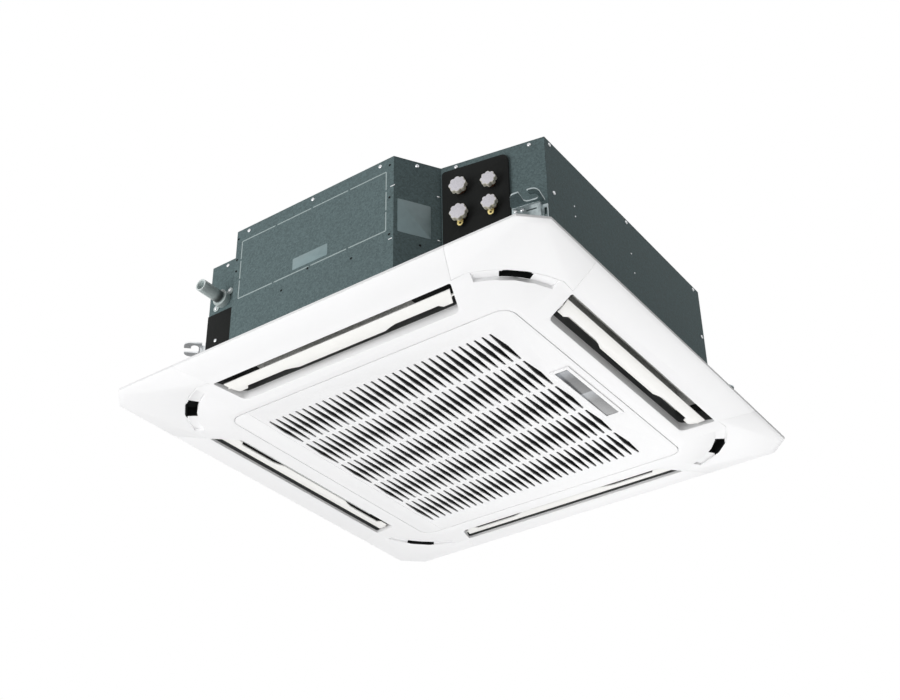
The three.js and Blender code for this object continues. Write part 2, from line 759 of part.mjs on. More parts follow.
function returnGrille() {
  const outline = roundedSquare(GRILLE_HALF, GRILLE_CORNER);
  const inside = roundedSquare(GRILLE_HALF - PANEL_WALL, GRILLE_CORNER - PANEL_WALL);
  const plate = prism(outline, -PANEL_DROP, GRILLE_BACK);
  const rim = cut(
    prism(outline, -PANEL_DROP, GRILLE_TOP),
    prism(inside, -PANEL_DROP - 1, GRILLE_TOP + 1),
  );
  const ribX0 = slotXs[0] - SLOT_WIDTH;
  const ribX1 = slotXs.at(-1) + SLOT_WIDTH;
  const ribs = slotYs.slice(1).map((y) => {
    const middle = y - SLOT_PITCH_Y / 2;
    return box(ribX0, ribX1, middle - 1.3, middle + 1.3, GRILLE_BACK - 1, GRILLE_BACK + GRILLE_RIB);
  });
  const hingeArm = (end) =>
    rod(
      xyz(HINGE_X, end * (GRILLE_HALF - GRILLE_CORNER), HINGE_Z),
      xyz(HINGE_X, end * HINGE_PIN_Y, HINGE_Z),
      HINGE_PIN_R,
      SMALL,
    );
  const slots = prism(
    slotXs.flatMap((x) => slotYs.map((y) => slotOutline(x, y))),
    -PANEL_DROP - 1,
    GRILLE_BACK + 1,
  );
  const [bodyX, bodyY] = DISPLAY_BODY;
  const displayHole = box(
    DISPLAY_X - bodyX / 2 - GAP,
    DISPLAY_X + bodyX / 2 + GAP,
    DISPLAY_Y - bodyY / 2 - GAP,
    DISPLAY_Y + bodyY / 2 + GAP,
    -PANEL_DROP - 1,
    GRILLE_TOP,
  );
  const groove = box(
    BAND_LINE_X - BAND_LINE_WIDTH / 2,
    BAND_LINE_X + BAND_LINE_WIDTH / 2,
    -GRILLE_HALF - 1,
    GRILLE_HALF + 1,
    -PANEL_DROP - 1,
    -PANEL_DROP + BAND_LINE_DEPTH,
  );
  const tongueSlots = [-LATCH_Y, LATCH_Y].map((y) =>
    box(
      -GRILLE_HALF - 1,
      -GRILLE_HALF + PANEL_WALL + 1,
      y - LATCH_TONGUE / 2 - GAP,
      y + LATCH_TONGUE / 2 + GAP,
      GRILLE_BACK,
      GRILLE_BACK + LATCH_HEIGHT + GAP,
    ),
  );
  const guides = [-LATCH_Y, LATCH_Y].flatMap(latchGuide);
  const whole = join(plate, rim, ribs, guides, hingeArm(-1), hingeArm(1));
  return cut(whole, slots, displayHole, groove, tongueSlots);
}

// The sliding bolt of one latch, with its tongue through the grille's rim.
function grilleLatch(y) {
  const x0 = -GRILLE_HALF + PANEL_WALL + GAP;
  const bottom = GRILLE_BACK + GAP;
  const half = LATCH_WIDTH / 2;
  const tongueEnd = -OPENING_HALF + 0.5;
  return join(
    box(x0, x0 + LATCH_LENGTH, y - half, y + half, bottom, bottom + LATCH_HEIGHT - GAP),
    box(tongueEnd, x0 + 1, y - LATCH_TONGUE / 2, y + LATCH_TONGUE / 2, bottom, bottom + LATCH_HEIGHT / 2),
    box(x0 + 10, x0 + 14, y - half, y + half, bottom, bottom + LATCH_HEIGHT + 3),
  );
}

function airFilter() {
  const halfX = FILTER_WIDTH_X / 2;
  const halfY = FILTER_LENGTH_Y / 2;
  const top = FILTER_BOTTOM + FILTER_THICKNESS;
  const frame = box(-halfX, halfX, -halfY, halfY, FILTER_BOTTOM, top);
  const cellX = (FILTER_WIDTH_X - FILTER_FRAME) / FILTER_CELLS_X;
  const cellY = (FILTER_LENGTH_Y - FILTER_FRAME) / FILTER_CELLS_Y;
  const windows = [];
  for (let i = 0; i < FILTER_CELLS_X; i++) {
    for (let j = 0; j < FILTER_CELLS_Y; j++) {
      const x = -halfX + FILTER_FRAME + i * cellX;
      const y = -halfY + FILTER_FRAME + j * cellY;
      const [x1, y1] = [x + cellX - FILTER_FRAME, y + cellY - FILTER_FRAME];
      windows.push(box(x, x1, y, y1, FILTER_BOTTOM + FILTER_NET, top + 1));
    }
  }
  return cut(frame, windows).translate([SLOT_FIELD_X, 0, 0]);
}

function displayHousing() {
  const around = ([w, h], z0, z1) =>
    box(DISPLAY_X - w / 2, DISPLAY_X + w / 2, DISPLAY_Y - h / 2, DISPLAY_Y + h / 2, z0, z1);
  const face = -PANEL_DROP - GAP;
  const back = -PANEL_DROP + DISPLAY_DEPTH;
  const [w, h] = DISPLAY_WINDOW;
  return cut(
    join(around(DISPLAY_BEZEL, face - DISPLAY_PROUD, face), around(DISPLAY_BODY, face - 1, back)),
    around([w + 2 * GAP, h + 2 * GAP], face - DISPLAY_PROUD - 1, face + LENS_THICKNESS + GAP),
    around([w - 4, h - 4], face, back - PANEL_WALL / 2),
  );
}

function displayLens() {
  const [w, h] = DISPLAY_WINDOW;
  const front = -PANEL_DROP - DISPLAY_PROUD + 0.5;
  return box(
    DISPLAY_X - w / 2,
    DISPLAY_X + w / 2,
    DISPLAY_Y - h / 2,
    DISPLAY_Y + h / 2,
    front,
    -PANEL_DROP + LENS_THICKNESS - GAP,
  );
}

// ---------------------------------------------------------------- louvres

// Plan of a blade about its axis: y is -outwards, so the inner edge is at +y.
function bladePlan() {
  const half = LOUVRE_CHORD / 2;
  const reachAt = (y) => outletHalfAt(LOUVRE_PIVOT - y) - LOUVRE_END_GAP;
  const outer = -half;
  const notched = half - LOUVRE_NOTCH_DEPTH;
  const right = [
    xy(reachAt(outer), outer),
    xy(reachAt(half) - 2, half),
    xy(LOUVRE_NOTCH_TO + 6, half),
    xy(LOUVRE_NOTCH_TO, notched),
    xy(LOUVRE_NOTCH_FROM + LOUVRE_NOTCH_BLEND, notched),
    xy(LOUVRE_NOTCH_FROM + LOUVRE_NOTCH_BLEND / 2, half - LOUVRE_NOTCH_DEPTH * 0.6),
    xy(LOUVRE_NOTCH_FROM, half),
  ];
  const left = right.map((p) => xy(-p.x, p.y)).reverse();
  return [...right, ...left];
}

// Section of a blade, as (y, z): thin at both edges and bowed downwards.
function bladeSection() {
  const half = LOUVRE_CHORD / 2 + 1;
  const steps = 4;
  const line = (thickness) =>
    Array.from({ length: steps + 1 }, (_, i) => {
      const t = -1 + (2 * i) / steps;
      const bow = -LOUVRE_BULGE * (1 - t * t);
      return xy(t * half, bow - LOUVRE_BLADE_DROP + thickness * (1 - 0.4 * t * t));
    });
  return [...line(-LOUVRE_THICKNESS / 2), ...line(LOUVRE_THICKNESS / 2).reverse()];
}

function louvreBlade() {
  const reach = OUTLET_OUTER_HALF;
  const blade = common(
    prismAlongX(bladeSection(), -reach, reach),
    prism(bladePlan(), -LOUVRE_CHORD, LOUVRE_CHORD),
  );
  const root = outletHalfAt(LOUVRE_PIVOT) - LOUVRE_END_GAP - 6;
  const tip = outletHalfAt(OUTLET_OUTER) + MOTOR_PAD;
  const pins = [-1, 1].map((end) =>
    rod(xyz(end * root, 0, 0), xyz(end * tip, 0, 0), LOUVRE_PIN_R, SMALL),
  );
  const cheeks = [-1, 1].map((end) =>
    rod(xyz(end * (root - 6), 0, -0.8), xyz(end * (root + 5), 0, -0.8), LOUVRE_PIN_R + 1.1, SMALL),
  );
  return join(blade, pins, cheeks);
}

// A motor beyond the +X end of the front outlet, about the louvre's axis.
function louvreMotor() {
  const face = outletHalfAt(OUTLET_OUTER) + GAP;
  const rear = face + MOTOR_LENGTH;
  const ear = 3;
  const body = join(
    rod(xyz(face, 0, MOTOR_OFFSET), xyz(rear, 0, MOTOR_OFFSET), MOTOR_R, MIDDLE),
    rod(xyz(face, 0, 0), xyz(face + MOTOR_PAD + 2, 0, 0), MOTOR_NOSE_R, SMALL),
    box(face, face + 1.5, -MOTOR_R - 6, MOTOR_R + 6, MOTOR_OFFSET - ear, MOTOR_OFFSET + ear),
  );
  const socket = rod(
    xyz(face - 1, 0, 0),
    xyz(face + MOTOR_PAD + GAP, 0, 0),
    LOUVRE_PIN_R + LOUVRE_PIN_PLAY,
    SMALL,
  );
  return cut(body, socket);
}

// ---------------------------------------------------------------- casing

const casingOutline = [
  xy(FRONT_LEFT, -BODY_FRONT),
  xy(FRONT_RIGHT, -BODY_FRONT),
  xy(NOTCH_X, -NOTCH_Y),
  xy(BODY_X, -PIPE_CORNER_Y),
  xy(BODY_X, BODY_BACK - BACK_CHAMFER),
  xy(BODY_X - BACK_CHAMFER, BODY_BACK),
  xy(-BODY_X + BACK_CHAMFER, BODY_BACK),
  xy(-BODY_X, BODY_BACK - BACK_CHAMFER),
  xy(-BODY_X, -DRAIN_WALL + DRAIN_CHAMFER),
  xy(-BODY_X + DRAIN_CHAMFER, -DRAIN_WALL),
  xy(FRONT_LEFT, -DRAIN_WALL),
];
const [, , NOTCH_CORNER, PIPE_CORNER] = casingOutline;
const pipeFace = wallGroup(NOTCH_CORNER, PIPE_CORNER);
const onPipeFace = (geometry) => geometry.applyMatrix4(pipeFace.matrix);

// A folded sheet along the outline's corners from one to another.
function wallSheet(first, last) {
  const size = casingOutline.length;
  const inner = offset(casingOutline, -SHEET);
  const steps = (last - first + size) % size;
  const ids = Array.from({ length: steps + 1 }, (_, i) => (first + i) % size);
  const along = (i, j) => casingOutline[j].clone().sub(casingOutline[i]).setLength(GAP / 2);
  const start = along(ids[0], ids[1]);
  const end = along(ids.at(-1), ids.at(-2));
  const trimmed = (points) =>
    ids.map((id, i) => {
      const p = points[id].clone();
      if (i === 0) p.add(start);
      if (i === steps) p.add(end);
      return p;
    });
  const outline = [...trimmed(casingOutline), ...trimmed(inner).reverse()];
  return prism(outline, BODY_BOTTOM, TOP_INSIDE - GAP);
}

// Slits that leave the knock-out plate on small bridges.
function knockoutSlits() {
  const [x0, x1] = KNOCKOUT_X;
  const [z0, z1] = KNOCKOUT_Z;
  const slits = [];
  const dashes = (from, to, count, make) => {
    const step = (to - from + KNOCKOUT_BRIDGE) / count;
    for (let i = 0; i < count; i++) {
      const a = from + i * step;
      slits.push(make(a, a + step - KNOCKOUT_BRIDGE));
    }
  };
  const [front, back] = [-BODY_FRONT - 1, -BODY_FRONT + SHEET + 0.1];
  for (const z of [z0, z1]) {
    dashes(x0, x1, 4, (a, b) => box(a, b, front, back, z - KNOCKOUT_SLIT / 2, z + KNOCKOUT_SLIT / 2));
  }
  for (const x of [x0, x1]) {
    dashes(z0, z1, 3, (a, b) => box(x - KNOCKOUT_SLIT / 2, x + KNOCKOUT_SLIT / 2, front, back, a, b));
  }
  return slits;
}

const pipes = [
  { name: "cooling_supply", along: COOLING_ALONG, z: COOLING_HEIGHTS[0], r: COOLING_PIPE_R },
  { name: "cooling_return", along: COOLING_ALONG, z: COOLING_HEIGHTS[1], r: COOLING_PIPE_R },
  { name: "heating_supply", along: HEATING_ALONG, z: HEATING_HEIGHTS[0], r: HEATING_PIPE_R },
  { name: "heating_return", along: HEATING_ALONG, z: HEATING_HEIGHTS[1], r: HEATING_PIPE_R },
];

// A hole for each pipe in what lies between two depths of the pipe plate.
const pipeHoles = (y0, y1, play) =>
  pipes.map(({ along, z, r }) =>
    rod(xyz(along, y0, z), xyz(along, y1, z), r + play, SMALL),
  );

function pipePlate() {
  const holes = pipeHoles(-FOAM, FOAM, 2).map(onPipeFace);
  return cut(wallSheet(2, 3), holes);
}

function leftWall() {
  const stubHole = rod(
    xyz(STUB_X, -DRAIN_WALL - 2, STUB_Z),
    xyz(STUB_X, -DRAIN_WALL + 4, STUB_Z),
    STUB_R + GAP,
    MIDDLE,
  );
  const cableHole = rod(
    xyz(-BODY_X - 2, GROMMET_Y, GROMMET_Z),
    xyz(-BODY_X + 4, GROMMET_Y, GROMMET_Z),
    GROMMET_R - 2 + GAP,
    SMALL,
  );
  return cut(wallSheet(7, 10), stubHole, cableHole);
}

// The top plate with its flange turned down inside the walls.
function topPlate() {
  const flangeOuter = offset(casingOutline, -SHEET - GAP);
  const flangeInner = offset(casingOutline, -2 * SHEET - GAP);
  const flange = cut(
    prism(flangeOuter, TOP_INSIDE - TOP_FLANGE, TOP_INSIDE + SHEET / 2),
    prism(flangeInner, TOP_INSIDE - TOP_FLANGE - 1, BODY_TOP),
  );
  return join(prism(casingOutline, TOP_INSIDE, BODY_TOP), flange);
}

function grommet() {
  const at = (x) => xyz(x, GROMMET_Y, GROMMET_Z);
  const x = -BODY_X;
  return cut(
    join(
      rod(at(x - 3), at(x - GAP), GROMMET_R, MIDDLE),
      rod(at(x - 1), at(x + SHEET + 4), GROMMET_R - 2, SMALL),
    ),
    rod(at(x - 5), at(x + 10), GROMMET_BORE_R, SMALL),
  );
}

// ---------------------------------------------------------------- foam lining and pan

// A band between two rounded squares, drawn in from the coil's outer face.
function coilBand(inset, thickness, z0, z1) {
  const outline = (into) => roundedSquare(COIL_OUTER - into, COIL_OUTER_RADIUS - into);
  return cut(prism(outline(inset), z0, z1), prism(outline(inset + thickness), z0 - 1, z1 + 1));
}

// The corner that the coil leaves free for the pipes.
const pipeCorner = (grow, z0, z1) =>
  box(COIL_END_X - grow, BODY_X, -BODY_FRONT, COIL_END_Y + grow, z0, z1);

const hosePath = [
  xyz(PUMP_X, PUMP_Y, PUMP_BOTTOM + PUMP_HEIGHT + GAP),
  xyz(PUMP_X, PUMP_Y, HOSE_CREST),
  xyz(STUB_X, -DRAIN_WALL + HOSE_INSET, HOSE_CREST),
  xyz(STUB_X, -DRAIN_WALL + HOSE_INSET, STUB_Z),
  xyz(STUB_X, -DRAIN_WALL + STUB_INSIDE, STUB_Z),
];

function insulationLiner() {
  const outer = offset(casingOutline, -LINER_INSET);
  const inner = offset(casingOutline, -LINER_INSET - LINER);
  const top = TOP_INSIDE - GAP;
  const shell = cut(
    prism(outer, PAN_TOP + GAP, top),
    prism(inner, PAN_TOP, top - LINER),
  );
  const sealBlock = (grow, z) =>
    cut(
      prism(roundedSquare(COIL_OUTER - grow, COIL_OUTER_RADIUS), z, top - LINER / 2),
      prism(roundedSquare(COIL_INNER + grow, COIL_OUTER_RADIUS - 45), z - 1, top),
      pipeCorner(0, z - 1, top),
    );
  const hoseWay = pipe(hosePath.slice(0, 3), HOSE_R + 2, 8);
  const stubWay = rod(
    xyz(STUB_X, -DRAIN_WALL - 2, STUB_Z),
    xyz(STUB_X, -DRAIN_WALL + HOSE_INSET + 3, STUB_Z),
    STUB_R + 2,
    SMALL,
  );
  const cableWay = rod(
    xyz(-BODY_X, GROMMET_Y, GROMMET_Z),
    xyz(-BODY_X + 40, GROMMET_Y, GROMMET_Z),
    GROMMET_R,
    SMALL,
  );
  return cut(
    join(shell, sealBlock(2, COIL_TOP + GAP)),
    upright(0, 0, PAN_TOP, TOP_INSIDE + 5, FAN_MOTOR_R + 14, MIDDLE),
    pipeHoles(-5, 60, 4).map(onPipeFace),
    hoseWay,
    stubWay,
    cableWay,
  );
}

// Air channel from the pan down to one outlet.
function channel(k) {
  const [x0, x1] = k === 0 ? FRONT_CHANNEL : [-CHANNEL_HALF, CHANNEL_HALF];
  return box(x0, x1, -CHANNEL_OUTER, -CHANNEL_INNER, 0, PAN_TOP + 1).applyMatrix4(quarterTurn(k));
}

function drainPan() {
  const outline = offset(casingOutline, -SHEET - GAP);
  const troughOuter = roundedSquare(COIL_OUTER + 6, COIL_OUTER_RADIUS + 6);
  const troughInner = roundedSquare(COIL_INNER - 6, 40);
  const troughTop = PAN_TOP + 1;
  const trough = cut(
    prism(troughOuter, PAN_TROUGH, troughTop),
    prism(troughInner, PAN_TROUGH - 1, troughTop + 1),
  );
  const sump = box(
    PUMP_X - SUMP_HALF,
    PUMP_X + SUMP_HALF,
    PUMP_Y - SUMP_HALF,
    PUMP_Y + SUMP_HALF,
    PAN_TROUGH,
    troughTop,
  );
  const boxWay = box(
    BOX_X[0] - GAP,
    BOX_X[1] + GAP,
    -BOX_HALF_Y - GAP,
    BOX_HALF_Y + GAP,
    0,
    BOX_HEIGHT + GAP,
  );
  return cut(
    prism(outline, PAN_BOTTOM, PAN_TOP),
    upright(0, 0, 0, PAN_TOP + 1, PAN_BORE_R, LARGE),
    trough,
    sump,
    boxWay,
    [0, 1, 2, 3].map(channel),
  );
}

// ---------------------------------------------------------------- fan

function bellMouth() {
  const t = BELL_THICKNESS;
  const flange = PAN_BOTTOM - GAP;
  const neck = BELL_THROAT_R + BELL_NECK_FLARE;
  const profile = [
    [BELL_FLANGE_R, flange],
    [BELL_FLANGE_R, flange - t],
    [BELL_FLAT_R, flange - t],
    [BELL_ROLL_R, flange + BELL_ROLL_RISE],
    [neck, flange + BELL_NECK_RISE],
    [BELL_THROAT_R, BELL_HEIGHT],
    [BELL_THROAT_R + t, BELL_HEIGHT],
    [neck + t, flange + BELL_NECK_RISE + 1],
    [BELL_ROLL_R + t, flange + BELL_ROLL_RISE + t],
    [BELL_FLAT_R + 1, flange],
    [BELL_FLANGE_R, flange],
  ];
  const boxWay = box(BOX_X[0] - 1, BOX_X[1] + 1, -BOX_HALF_Y - 1, BOX_HALF_Y + 1, 0, BOX_HEIGHT);
  return cut(spun(profile), boxWay);
}

// Region for the blades, whose ends sink into the shroud and the top plate.
function bladeSpace() {
  const sunk = IMPELLER_SHELL / 2;
  const low = IMPELLER_BOTTOM + sunk;
  return spun([
    [0, low + IMPELLER_SHELL],
    [IMPELLER_INLET_R + sunk, low + IMPELLER_SHELL],
    [SHROUD_BEND_R - sunk, low + SHROUD_BEND_RISE],
    [IMPELLER_R - sunk, low + SHROUD_EDGE_RISE],
    [IMPELLER_R - sunk, IMPELLER_TOP - sunk],
    [0, IMPELLER_TOP - sunk],
  ]);
}

// A blade's plan: a band that sweeps back as it goes outwards.
function bladeOutline(turn) {
  const steps = 5;
  const side = (shift) =>
    Array.from({ length: steps + 1 }, (_, i) => {
      const t = i / steps;
      const radius = BLADE_INNER_R + t * (IMPELLER_R - BLADE_INNER_R);
      const angle = turn - BLADE_SWEEP * DEG * t ** 1.3;
      return xy(radius, shift).rotateAround(ORIGIN, angle);
    });
  return [...side(-BLADE_THICKNESS / 2), ...side(BLADE_THICKNESS / 2).reverse()];
}

function impeller() {
  const t = IMPELLER_SHELL;
  const low = IMPELLER_BOTTOM;
  const shroud = spun([
    [IMPELLER_INLET_R, low],
    [IMPELLER_INLET_R + t, low],
    [SHROUD_BEND_R, low + SHROUD_BEND_RISE],
    [IMPELLER_R, low + SHROUD_EDGE_RISE],
    [IMPELLER_R, low + SHROUD_EDGE_RISE + t],
    [SHROUD_BEND_R - t / 2, low + SHROUD_BEND_RISE + t],
    [IMPELLER_INLET_R, low + 2 * t],
    [IMPELLER_INLET_R, low],
  ]);
  const bottom = IMPELLER_TOP - HUB_DEPTH;
  const hub = spun([
    [SHAFT_R + GAP, bottom],
    [HUB_R - HUB_TAPER, bottom],
    [HUB_R, IMPELLER_TOP - t],
    [IMPELLER_R, IMPELLER_TOP - t],
    [IMPELLER_R, IMPELLER_TOP],
    [HUB_R - t, IMPELLER_TOP],
    [HUB_R - HUB_TAPER - t, bottom + t],
    [SHAFT_R + GAP, bottom + t],
    [SHAFT_R + GAP, bottom],
  ]);
  const outlines = Array.from({ length: IMPELLER_BLADES }, (_, i) =>
    bladeOutline((2 * Math.PI * i) / IMPELLER_BLADES),
  );
  const blades = common(prism(outlines, low, IMPELLER_TOP), bladeSpace());
  return join(shroud, hub, blades);
}

const HUB_FLOOR = IMPELLER_TOP - HUB_DEPTH;
// The shaft, with the nut that holds the impeller under its hub.
const motorShaft = () =>
  join(
    upright(0, 0, HUB_FLOOR - SHAFT_END, FAN_MOTOR_TOP - SHAFT_SEAT, SHAFT_R, MIDDLE),
    upright(0, 0, HUB_FLOOR - SHAFT_NUT, HUB_FLOOR - GAP, SHAFT_NUT_R, 6),
  );

// The fan motor, hung from the top plate on four feet.
function fanMotor() {
  const top = TOP_INSIDE - GAP;
  const skirt = IMPELLER_TOP + FAN_MOTOR_SKIRT;
  const body = spun([
    [0, FAN_MOTOR_BOTTOM],
    [FAN_MOTOR_BEARING_R, FAN_MOTOR_BOTTOM],
    [FAN_MOTOR_NOSE_R, FAN_MOTOR_BOTTOM + FAN_MOTOR_CONE],
    [FAN_MOTOR_NOSE_R, skirt],
    [FAN_MOTOR_R, skirt + 2],
    [FAN_MOTOR_R, FAN_MOTOR_TOP - FAN_MOTOR_EDGE],
    [FAN_MOTOR_R - FAN_MOTOR_EDGE, FAN_MOTOR_TOP],
    [0, FAN_MOTOR_TOP],
  ]);
  const footAt = FAN_MOTOR_R - FAN_MOTOR_FOOT_R - 1;
  const footFrom = FAN_MOTOR_TOP - 2 * FAN_MOTOR_EDGE;
  const feet = [0, 1, 2, 3].map((k) =>
    upright(footAt, 0, footFrom, top, FAN_MOTOR_FOOT_R, SMALL).applyMatrix4(
      quarterTurn(k + 0.5),
    ),
  );
  const boreTop = FAN_MOTOR_TOP - SHAFT_SEAT + 2;
  const bore = upright(0, 0, FAN_MOTOR_BOTTOM - 1, boreTop, SHAFT_R + SHAFT_PLAY, MIDDLE);
  return cut(join(body, feet), bore);
}

// ---------------------------------------------------------------- coil and pipes

function coil() {
  const rowStep = (COIL_THICKNESS - COIL_ROW_THICKNESS) / (COIL_ROWS - 1);
  const rows = Array.from({ length: COIL_ROWS }, (_, i) =>
    coilBand(i * rowStep, COIL_ROW_THICKNESS, COIL_BOTTOM, COIL_TOP),
  );
  const base = coilBand(0, COIL_THICKNESS, COIL_BOTTOM, COIL_BOTTOM + COIL_ROW_THICKNESS);
  const fins = cut(join(rows, base), pipeCorner(0, COIL_BOTTOM - 1, COIL_TOP + 1));
  const lip = COIL_PLATE_LIP;
  const frontPlate = box(
    COIL_END_X - 1,
    COIL_END_X + COIL_PLATE,
    -COIL_OUTER - lip,
    -COIL_INNER + lip,
    COIL_BOTTOM,
    COIL_TOP,
  );
  const rightPlate = box(
    COIL_INNER - lip,
    COIL_OUTER + lip,
    COIL_END_Y - COIL_PLATE,
    COIL_END_Y + 1,
    COIL_BOTTOM,
    COIL_TOP,
  );
  const bends = [];
  for (const x of [COIL_INNER + BEND_INSET, COIL_OUTER - BEND_INSET]) {
    for (let z = COIL_BOTTOM + BEND_FROM; z < COIL_TOP - BEND_LENGTH; z += BEND_PITCH) {
      const [x0, x1] = [x - BEND_HALF, x + BEND_HALF];
      bends.push(box(x0, x1, COIL_END_Y - BEND_REACH, COIL_END_Y, z, z + BEND_LENGTH));
    }
  }
  return join(fins, frontPlate, rightPlate, bends);
}

// Where the four headers stand, inside the pipe corner.
const frontEnd = COIL_END_X + COIL_PLATE + COOLING_PIPE_R;
const rightEnd = COIL_END_Y - COIL_PLATE - BEND_REACH - HEATING_PIPE_R;
const headerPlaces = {
  cooling_supply: xy(frontEnd + 25, -COIL_MIDDLE + 10),
  cooling_return: xy(frontEnd + 8, -COIL_MIDDLE - 16),
  heating_supply: xy(COIL_MIDDLE - 16, rightEnd - 11),
  heating_return: xy(COIL_MIDDLE + 12, rightEnd - 7),
};

// A pipe from outside the pipe plate to its upright header.
function waterPipe({ name, along, z, r }) {
  const at = headerPlaces[name];
  const top = z + r + HEADER_CAP;
  const outside = xyz(along, PIPES_OUT, z).applyMatrix4(pipeFace.matrix);
  const inside = xyz(along, 38, z).applyMatrix4(pipeFace.matrix);
  const run = pipe([outside, inside, xyz(at.x, at.y, z)], r);
  const header = upright(at.x, at.y, HEADER_BOTTOM, top, r, SMALL);
  const bore = rod(
    xyz(along, PIPES_OUT - 1, z),
    xyz(along, 0, z),
    r - 2,
    SMALL,
  );
  return cut(join(run, header), onPipeFace(bore));
}

// A ribbed screw cap over a pipe's end, in the pipe plate's frame.
function pipeCap(radius) {
  const outer = radius + CAP_WALL;
  const outline = Array.from({ length: CAP_LOBES * 4 }, (_, i) => {
    const angle = (2 * Math.PI * i) / (CAP_LOBES * 4);
    const reach = outer - CAP_LOBE * (1 - Math.abs(Math.cos((CAP_LOBES * angle) / 2)) * 2);
    return xy(reach * Math.cos(angle), reach * Math.sin(angle));
  });
  return cut(
    prism(outline, 0, CAP_LENGTH),
    upright(0, 0, -1, CAP_LENGTH - CAP_END, radius + GAP, SMALL),
  );
}

// A brass vent tab: a ring round the pipe with an eye that hangs below it.
function ventTab(radius) {
  const drop = radius + TAB_DROP;
  const top = TAB_THICKNESS + 1;
  return cut(
    join(
      upright(0, 0, 0, TAB_THICKNESS, radius + TAB_RING),
      box(-TAB_EYE_R, TAB_EYE_R, -drop, 0, 0, TAB_THICKNESS),
      upright(0, -drop, 0, TAB_THICKNESS, TAB_EYE_R, SMALL),
    ),
    upright(0, 0, -1, top, radius + GAP, SMALL),
    upright(0, -drop, -1, top, TAB_EYE_R - 3.2, SMALL),
  );
}

// ---------------------------------------------------------------- foam pads

function pipeFoam() {
  const [a0, a1] = PIPE_FOAM_ALONG;
  const [z0, z1] = PIPE_FOAM_Z;
  const outline = filleted(
    [xy(a0, z0), xy(a1, z0), xy(a1, z1), xy(a0, z1)],
    [0, 0, FOAM_CORNER, FOAM_CORNER / 2],
    5,
  );
  const pad = prism(outline, GAP, GAP + FOAM).rotateX(Math.PI / 2);
  return cut(pad, pipeHoles(-2 * FOAM, FOAM, 1));
}

const drainFoam = () =>
  box(
    DRAIN_FOAM_X[0],
    DRAIN_FOAM_X[1],
    -DRAIN_WALL - GAP - FOAM,
    -DRAIN_WALL - GAP,
    DRAIN_FOAM_Z[0],
    DRAIN_FOAM_Z[1],
  );

// ---------------------------------------------------------------- drain

function drainPump() {
  const top = PUMP_BOTTOM + PUMP_HEIGHT;
  const arm = SUMP_HALF + 8;
  return join(
    upright(PUMP_X, PUMP_Y, PUMP_BOTTOM, top - 22, PUMP_R, MIDDLE),
    upright(PUMP_X, PUMP_Y, top - 24, top, PUMP_R * 0.6, SMALL),
    box(PUMP_X - arm, PUMP_X + arm, PUMP_Y - 8, PUMP_Y + 8, PAN_TOP + GAP, PAN_TOP + 3),
  );
}

// A stem with a head on top and a stop at its foot; the float slides on it.
function floatSwitch() {
  const foot = PAN_TROUGH + GAP;
  const head = foot + 2 + FLOAT_HEIGHT + FLOAT_TRAVEL + 3;
  return join(
    upright(FLOAT_X, FLOAT_Y, foot, foot + 2, FLOAT_STEM_R + 3, SMALL),
    upright(FLOAT_X, FLOAT_Y, foot, head + 4, FLOAT_STEM_R, SMALL),
    upright(FLOAT_X, FLOAT_Y, head, head + 12, FLOAT_STEM_R + 4, SMALL),
  );
}

function pumpFloat() {
  const bottom = PAN_TROUGH + GAP + 2 + GAP;
  return cut(
    upright(FLOAT_X, FLOAT_Y, bottom, bottom + FLOAT_HEIGHT, FLOAT_R, MIDDLE),
    upright(FLOAT_X, FLOAT_Y, bottom - 1, bottom + FLOAT_HEIGHT + 1, FLOAT_STEM_R + FLOAT_PLAY, SMALL),
  );
}

// The drain stub with its square fixing plate.
function drainStub() {
  const outside = -DRAIN_WALL - GAP;
  const plate = outside - 2.5;
  const at = (y) => xyz(STUB_X, y, STUB_Z);
  const collar = STUB_R + STUB_COLLAR;
  const ears = [0, 180].map((turn) => {
    const angle = (STUB_EAR_ANGLE + turn) * DEG;
    const [dx, dz] = [STUB_EARS * Math.cos(angle), STUB_EARS * Math.sin(angle)];
    return rod(xyz(STUB_X + dx, plate, STUB_Z + dz), xyz(STUB_X + dx, outside, STUB_Z + dz), STUB_EAR_R, SMALL);
  });
  return cut(
    join(
      rod(at(outside - STUB_LENGTH), at(-DRAIN_WALL + STUB_INSIDE - GAP), STUB_R),
      rod(at(outside - 12), at(outside), collar),
      ears,
    ),
    rod(at(outside - STUB_LENGTH - 1), at(0), STUB_BORE_R),
  );
}

// ---------------------------------------------------------------- hangers and control box

